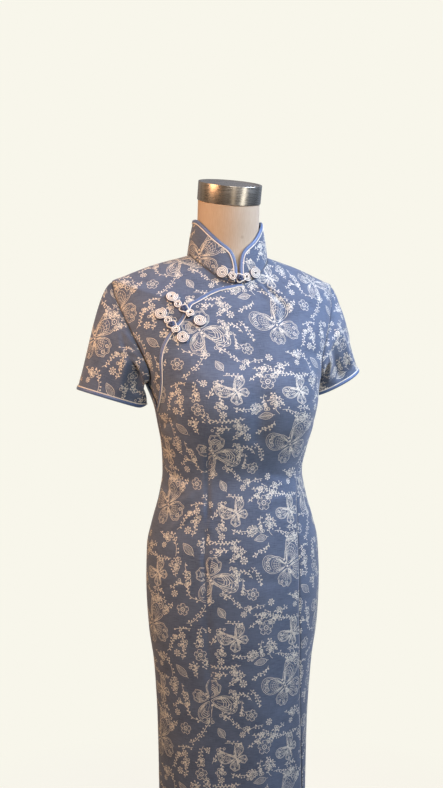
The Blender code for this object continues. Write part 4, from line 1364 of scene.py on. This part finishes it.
def opening_trim():
    levels = np.concatenate([np.linspace(1.150, 1.360, 60), np.linspace(1.362, 1.3986, 40)])
    # The last points run past the centre front, under the collar's binding.
    angle = np.concatenate([opening_angle(levels), (-0.4, 1.2, 2.8)])
    levels = np.concatenate([levels, (0.9990 * NECK, 0.9992 * NECK, 0.9993 * NECK)])
    edge, outward = even(body(angle, levels), body_normal(angle, levels))
    outward = unit(outward)
    return trim("opening", edge, across(edge, outward), outward, setback=0.0004)


def sleeve_trim(row, panel):
    """The trim round a sleeve's hem, from the sleeve's own last rows."""
    hem = panel["points"][0, :-1]
    up = unit(panel["points"][2, :-1] - hem)
    outward = panel["normals"][0, :-1]
    outward = unit(outward - up * (outward * up).sum(axis=-1, keepdims=True))
    return trim(f"sleeve_{row[0]}", hem, up, outward, closed=True, setback=0.0002)


# ---- Frog fasteners ----
CORD_RADIUS = 0.00102  # of the white cord on a coil's face
BAND_HALF = 0.00126  # half the thickness of the blue band under it
COIL_PITCH = 0.0026  # from one turn of a coil to the next
COIL_RADII = {"large": 0.0112, "small": 0.0084}
COIL_CORE = 0.0016  # radius at which a coil begins
COIL_SINKS = 0.0004  # how much lower a coil's cord ends than it begins
BALL_RADIUS, BALL_CORD = 0.0056, 0.00145
LOOP_REACH, LOOP_CORD = 0.0071, 0.00105
SHANK_CORD, SHANK_LOW = 0.00150, 0.0022
SHANKS = {"right": (0.355, 0.475), "left": (0.525, 0.66)}  # where along the fastener they run


def placed(point, outward, along):
    """A matrix that stands a piece on the cloth: Z outwards and X along the fastener."""
    z = Vector(outward).normalized()
    x = (Vector(along) - Vector(along).project(z)).normalized()
    made = Matrix((x, z.cross(x), z)).transposed().to_4x4()
    made.translation = Vector(point)
    return np.array(made)


def moved(points, place):
    return points @ place[:3, :3].T + place[:3, 3]


def tube(name, line, radius, finish, closed=False, sides=8, node=None):
    """A cord of even radius along a line."""
    ahead = headings(line, closed)
    side = np.cross(ahead[0], (0.0, 0.0, 1.0))
    if np.linalg.norm(side) < 0.1:
        side = np.cross(ahead[0], (1.0, 0.0, 0.0))
    aside = [unit(side)]
    for direction in ahead[1:]:
        last = aside[-1]
        aside.append(unit(last - direction * (last @ direction)))
    aside = np.array(aside)
    return sweep(name, line, aside, unit(np.cross(ahead, aside)), round_section(radius, sides), finish,
                 closed, node)


def coil(name, place, radius, node, start_turn):
    """A strip rolled up on itself: a blue band on edge with a white cord along its face."""
    inner, outer = COIL_CORE, radius - BAND_HALF
    turns = (outer - inner) / COIL_PITCH
    t = np.linspace(0, 1, max(24, int(turns * 30)))
    angle = 2 * math.pi * turns * t + start_turn
    reach = inner + (outer - inner) * t
    flat, none = circle(angle) * reach[:, None], np.zeros((len(t), 1))
    height = FROG_THICK - CORD_RADIUS
    cord = moved(np.hstack([flat, (height - COIL_SINKS * t)[:, None]]), place)
    tube(f"{name}_cord", cord, CORD_RADIUS, COIL_CORD, node=node)
    inward = np.hstack([-circle(angle), none]) @ place[:3, :3].T
    outward = np.broadcast_to(place[:3, 2], inward.shape)
    half, low = BAND_HALF, 0.0001
    section = ((-half, low), (half, low), (half, height), (-half, height))
    # The band's darker satin is painted shade.
    sweep(f"{name}_band", moved(np.hstack([flat, none]), place), inward, outward, section, SHADE_DARKENED_SATIN)


def ball_knot(name, place, node):
    """A button knot of blue cord woven round on itself."""
    t = np.linspace(0, 2 * math.pi, 120, endpoint=False)
    tilt = 0.62 * np.sin(4 * t)
    reach = BALL_RADIUS * (0.66 + 0.13 * np.cos(8 * t))
    line = np.stack([
        reach * np.cos(3 * t) * np.cos(tilt),
        reach * np.sin(3 * t) * np.cos(tilt),
        BALL_RADIUS * 0.9 * np.sin(tilt),
    ], axis=1)
    tube(f"{name}_satin", moved(line, place), BALL_CORD, SHADE_DARKENED_SATIN, closed=True, sides=6, node=node)


def loop(name, place, node):
    """The loop round a knot: a rounded triangle whose point lies towards the left coils."""
    t = np.linspace(0, 2 * math.pi, 40, endpoint=False)
    reach = LOOP_REACH + 0.0012 * np.cos(3 * t) + 0.0010 * np.cos(t)
    line = np.stack([reach * np.cos(t), reach * np.sin(t), 0.0012 * np.cos(t + 0.4)], axis=1)
    tube(f"{name}_cord", moved(line, place), LOOP_CORD, COIL_CORD, closed=True, node=node)


def shank(name, side, surface, low, high):
    """The blue cord that rises from a side's coils to the knot."""
    first, last = SHANKS[side]
    line = []
    for share in np.linspace(first, last, 10):
        point, outward = surface(share)
        gone = share - first if side == "right" else last - share
        line.append(point + outward * (low + (high - low) * float(ease(gone / (last - first)))))
    tube(f"{name}_{side}_shank", np.array(line), SHANK_CORD, SHADE_DARKENED_SATIN)


def frog(name, surface, under):
    """A fastener: two coils each side, a knot, the loop round it and the cords that join them."""

    def stand(share, lift):
        point, outward = surface(share)
        ahead, _ = surface(share + 0.01)
        return placed(point + outward * lift, outward, ahead - point)

    name = f"frog_{name}"
    for k, (side, size, share) in enumerate(FROG_COILS):
        node = f"{name}_{side}_{size}_coil"
        coil(node, stand(share, LAID_ON + under(side, size)), COIL_RADII[size], node, 0.9 + 1.7 * k)
    lift = PIPING + LAID_ON * 2 + KNOT_RADIUS
    middle = stand(KNOT_SHARE, lift)
    ball_knot(f"{name}_knot", middle, f"{name}_knot")
    loop(f"{name}_loop", middle, f"{name}_loop")
    for side in SHANKS:
        shank(name, side, surface, LAID_ON + under(side, "small") + SHANK_LOW, lift)


def opening_frogs():
    def under(side, size):
        if side == "right":
            return -UNDERLAP_DEPTH
        return PIPING + LAID_ON if size == "small" else 0.0

    for row in OPENING_FROGS:
        size = dict(zip(FROG_COLUMNS, row))

        def surface(share, size=size):
            angle = size["right_angle"] + (size["left_angle"] - size["right_angle"]) * share
            level = size["right_level"] + (size["left_level"] - size["right_level"]) * share
            return body(angle, level), body_normal(angle, level)

        frog(size["name"], surface, under)


def neck_frog():
    def surface(share):
        distance = (share - 0.5) * NECK_FROG
        low, high = NECK_FROG_RISE
        rise = low + (high - low) * 2 * abs(share - 0.5)
        angle = math.degrees(distance / ring_value("half_width", NECK))
        return collar(angle, rise), collar_normal(angle, rise)

    frog("neck", surface, lambda side, size: PIPING + LAID_ON if size == "small" else 0.0)


# ---- The dress form and its stand ----
def neck_ring(z, y, radius, tilt, turns):
    x, away = np.sin(turns) * radius, -np.cos(turns) * radius
    return np.stack([x, y + away * math.cos(tilt), z + away * math.sin(tilt)], axis=-1)


def form_body():
    """The padded torso and neck inside the dress."""
    turns = np.linspace(0, 2 * math.pi, 96, endpoint=False)
    angles = np.degrees(turns)
    levels = np.concatenate([np.linspace(FORM_BOTTOM, 1.19, 40), np.linspace(1.20, NECK, 30)])
    rings = [body(angles, level, FORM_CLEARANCE) for level in levels]
    necks = [rings[-1]] + [neck_ring(z, y, r, tilt * NECK_TILT, turns) for z, y, r, tilt in NECK_RINGS]
    for low, high in zip(necks, necks[1:]):
        rings += [low + (high - low) * ease(k / 6) for k in range(1, 7)]
    grid = np.array(rings)
    rows, columns = grid.shape[:2]
    faces = grid_faces(rows, columns, closed=True).tolist() + end_faces(rows, columns)
    return mesh_piece("form_body_jersey", grid, faces, JERSEY, replaces=("form_torso",))


def cylinder_piece(name, radius, depth, centre, tilt, vertices, node, bevel, finish):
    """A turned metal piece from a cylinder: its top end inset and dished, its edges rolled."""
    bpy.ops.object.select_all(action="DESELECT")
    bpy.ops.mesh.primitive_cylinder_add(vertices=vertices, radius=radius, depth=depth)
    made = bpy.context.object
    made.name = name
    bpy.ops.object.mode_set(mode="EDIT")
    bpy.ops.mesh.select_mode(type="FACE")
    bpy.ops.mesh.select_all(action="DESELECT")
    shape = bmesh.from_edit_mesh(made.data)
    for face in shape.faces:
        face.select = face.normal.z > 0.9
    bmesh.update_edit_mesh(made.data)
    bpy.ops.mesh.inset(thickness=radius * 0.10, depth=0)
    bpy.ops.mesh.inset(thickness=radius * 0.02, depth=-min(depth * 0.04, 0.0010))
    bpy.ops.mesh.inset(thickness=radius * 0.30, depth=0)
    bpy.ops.object.mode_set(mode="OBJECT")
    edges = made.modifiers.new("Rolled edges", "BEVEL")
    edges.width, edges.segments, edges.limit_method, edges.angle_limit = bevel, 4, "ANGLE", math.radians(40)
    bpy.ops.object.modifier_apply(modifier=edges.name)
    bpy.ops.object.shade_smooth_by_angle(angle=math.radians(35))
    made.data.transform(Matrix.Translation(centre) @ Matrix.Rotation(tilt, 4, "X"))
    made.data.materials.clear()
    made.data.materials.append(finish)
    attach(made, ROOT)
    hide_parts(node)
    return made


def form_metal():
    cylinder_piece(
        "neck_cap_steel", CAP_RADIUS, CAP_HEIGHT, CAP_CENTRE, NECK_TILT, 128, "form_neck_cap", 0.0032, STEEL,
    )
    straight = brushed_steel("Straight-brushed stainless steel", (1200.0, 10.0, 1200.0))
    socket_low = BASE_THICK + STAND_GAP
    pole_low, pole_high = socket_low + SOCKET_HEIGHT + STAND_GAP, FORM_BOTTOM - STAND_GAP
    for name, radius, low, depth, vertices, bevel, finish in (
        ("base", BASE_RADIUS, 0.0, BASE_THICK, 160, 0.003, straight),
        ("socket", POLE_RADIUS + SOCKET_WALL, socket_low, SOCKET_HEIGHT, 64, 0.002, STEEL),
        ("pole", POLE_RADIUS, pole_low, pole_high - pole_low, 48, 0.001, STEEL),
    ):
        centre = (0, 0, low + depth / 2)
        cylinder_piece(f"{name}_steel", radius, depth, centre, 0.0, vertices, f"stand_{name}", bevel, finish)


# ---- Putting it together ----
form = form_body()
form_metal()
front, underlap, back, stand = make_front(), make_underlap(), make_back(), make_collar()
collar_extra, opening_extra = collar_trim(), opening_trim()
for sleeve_row in SLEEVES:
    sewn_sleeve = make_sleeve(sleeve_row)
    sleeve_trim(sleeve_row, sewn_sleeve[1])
opening_frogs()
neck_frog()


# ---- The stage ----
BACKDROP = "#F8F6EB"
# Each light: its name, place, aim, width and height, power, colour, spread, and the rays that miss it.
LIGHTS = (
    ("Warm window", (-1.22, -0.35, 1.85), (0.0, 0.0, 1.30), (0.7, 0.9), 7.6, "#FFBE8C", 110, ""),
    ("Daylight", (1.05, -0.55, 2.10), (0.16, 0.0, 1.32), (0.7, 0.7), 12.2, "#CFE0FF", 100, ""),
    ("Soft front", (-0.10, -2.00, 1.95), (0.0, 0.0, 1.20), (1.2, 0.8), 5.3, "#F6EEE8", 70, ""),
    # Two tall strips that only the metal and the satin mirror.
    ("Grey strip", (-0.06, -1.30, 0.95), CAP_CENTRE, (0.30, 1.4), 1.30, "#F2DEC4", 180, "diffuse"),
    ("Bright strip", (0.80, -1.05, 1.05), CAP_CENTRE, (0.28, 1.4), 4.60, "#F4F0E6", 180, "diffuse"),
    ("Back rim", (0.8, 2.6, 2.2), (0.0, 0.0, 1.2), (2.0, 1.6), 30.0, "#E6EEFA", 180, "glossy"),
)


def aimed(name, data, place, ahead):
    """A light or camera at a place, looking ahead."""
    made = bpy.data.objects.new(name, data)
    made.location = place
    made.rotation_mode = "QUATERNION"
    made.rotation_quaternion = Vector(ahead).to_track_quat("-Z", "Y")
    bpy.context.scene.collection.objects.link(made)
    return made


def area_light(name, place, aim, size, power, colour, spread, missed_by):
    lamp = bpy.data.lights.new(name, "AREA")
    lamp.shape, lamp.size, lamp.size_y = "RECTANGLE", *size
    lamp.energy, lamp.color, lamp.spread = power, linear(colour)[:3], math.radians(spread)
    made = aimed(name, lamp, place, Vector(aim) - Vector(place))
    made.visible_camera = False
    if missed_by:
        setattr(made, f"visible_{missed_by}", False)


def make_floor():
    bpy.ops.object.select_all(action="DESELECT")
    bpy.ops.mesh.primitive_circle_add(vertices=128, radius=60.0, fill_type="NGON")
    floor = bpy.context.object
    floor.name = "floor"
    pale, tree, shader = start_material(
        "Pale matt floor", Roughness=0.9, Specular_IOR_Level=0.0, Base_Color=linear("#D8D5CA"),
        Emission_Color=linear(BACKDROP), Emission_Strength=0.35,
    )
    # Far from the object the floor takes the backdrop's colour, so that no edge shows between them.
    away = add_node(tree, "VectorMath", {"operation": "LENGTH"}, {0: object_place(tree)}).outputs["Value"]
    plain = add_node(tree, "Emission", None, {"Color": linear(BACKDROP)})
    far = {0: ranged(tree, away, 0.45, 1.25), 1: shader.outputs[0], 2: plain.outputs[0]}
    both = add_node(tree, "MixShader", None, far)
    tree.links.new(both.outputs[0], tree.nodes["Material Output"].inputs["Surface"])
    floor.data.materials.append(pale)
    floor.visible_diffuse = floor.visible_glossy = False


def make_world():
    """A plain pale backdrop to look at, and a soft room to light the object and be mirrored in its metal."""
    world = bpy.data.worlds.new("Studio")
    bpy.context.scene.world = world
    world.use_nodes = True
    tree = world.node_tree
    tree.nodes.clear()
    seen = add_node(tree, "Background", None, {"Color": linear(BACKDROP), "Strength": 1.0})
    direction = add_node(tree, "TexCoord").outputs["Generated"]
    parts = add_node(tree, "SeparateXYZ", None, {0: direction})
    tint = mixed(tree, ranged(tree, parts.outputs["X"], -0.8, 0.8), "#EBD3BC", "#C6D5EE")
    # Bright and dark walls round the room, brighter above than below.
    room = ranged(tree, streaks(tree, direction, (2.6, 2.6, 0.4), 1.0), 0.36, 0.64, 0.70, 2.10)
    above = ranged(tree, parts.outputs["Z"], -0.60, 0.9, 0.10, 0.42)
    strength = add_node(tree, "Math", {"operation": "MULTIPLY"}, {0: room, 1: above}).outputs[0]
    lit = add_node(tree, "Background", None, {"Color": tint, "Strength": strength})
    path = add_node(tree, "LightPath").outputs["Is Camera Ray"]
    both = add_node(tree, "MixShader", None, {0: path, 1: lit.outputs[0], 2: seen.outputs[0]})
    add_node(tree, "OutputWorld", None, {"Surface": both.outputs[0]})


CAMERA_PLACE = (-0.4526, -1.4302, 1.265)
CAMERA_HEADING, CAMERA_DIP = (0.2924, 0.9563), math.radians(3.687)
CAMERA_LENS, CAMERA_SENSOR = 39.70, 36.0


def make_camera():
    lens = bpy.data.cameras.new("Camera")
    lens.lens, lens.sensor_width = CAMERA_LENS, CAMERA_SENSOR
    level = math.cos(CAMERA_DIP)
    ahead = (CAMERA_HEADING[0] * level, CAMERA_HEADING[1] * level, -math.sin(CAMERA_DIP))
    bpy.context.scene.camera = aimed("Camera", lens, CAMERA_PLACE, ahead)


make_floor()
make_world()
for light in LIGHTS:
    area_light(*light)
make_camera()
bpy.context.scene.view_settings.view_transform = "Standard"

bpy.context.view_layer.update()
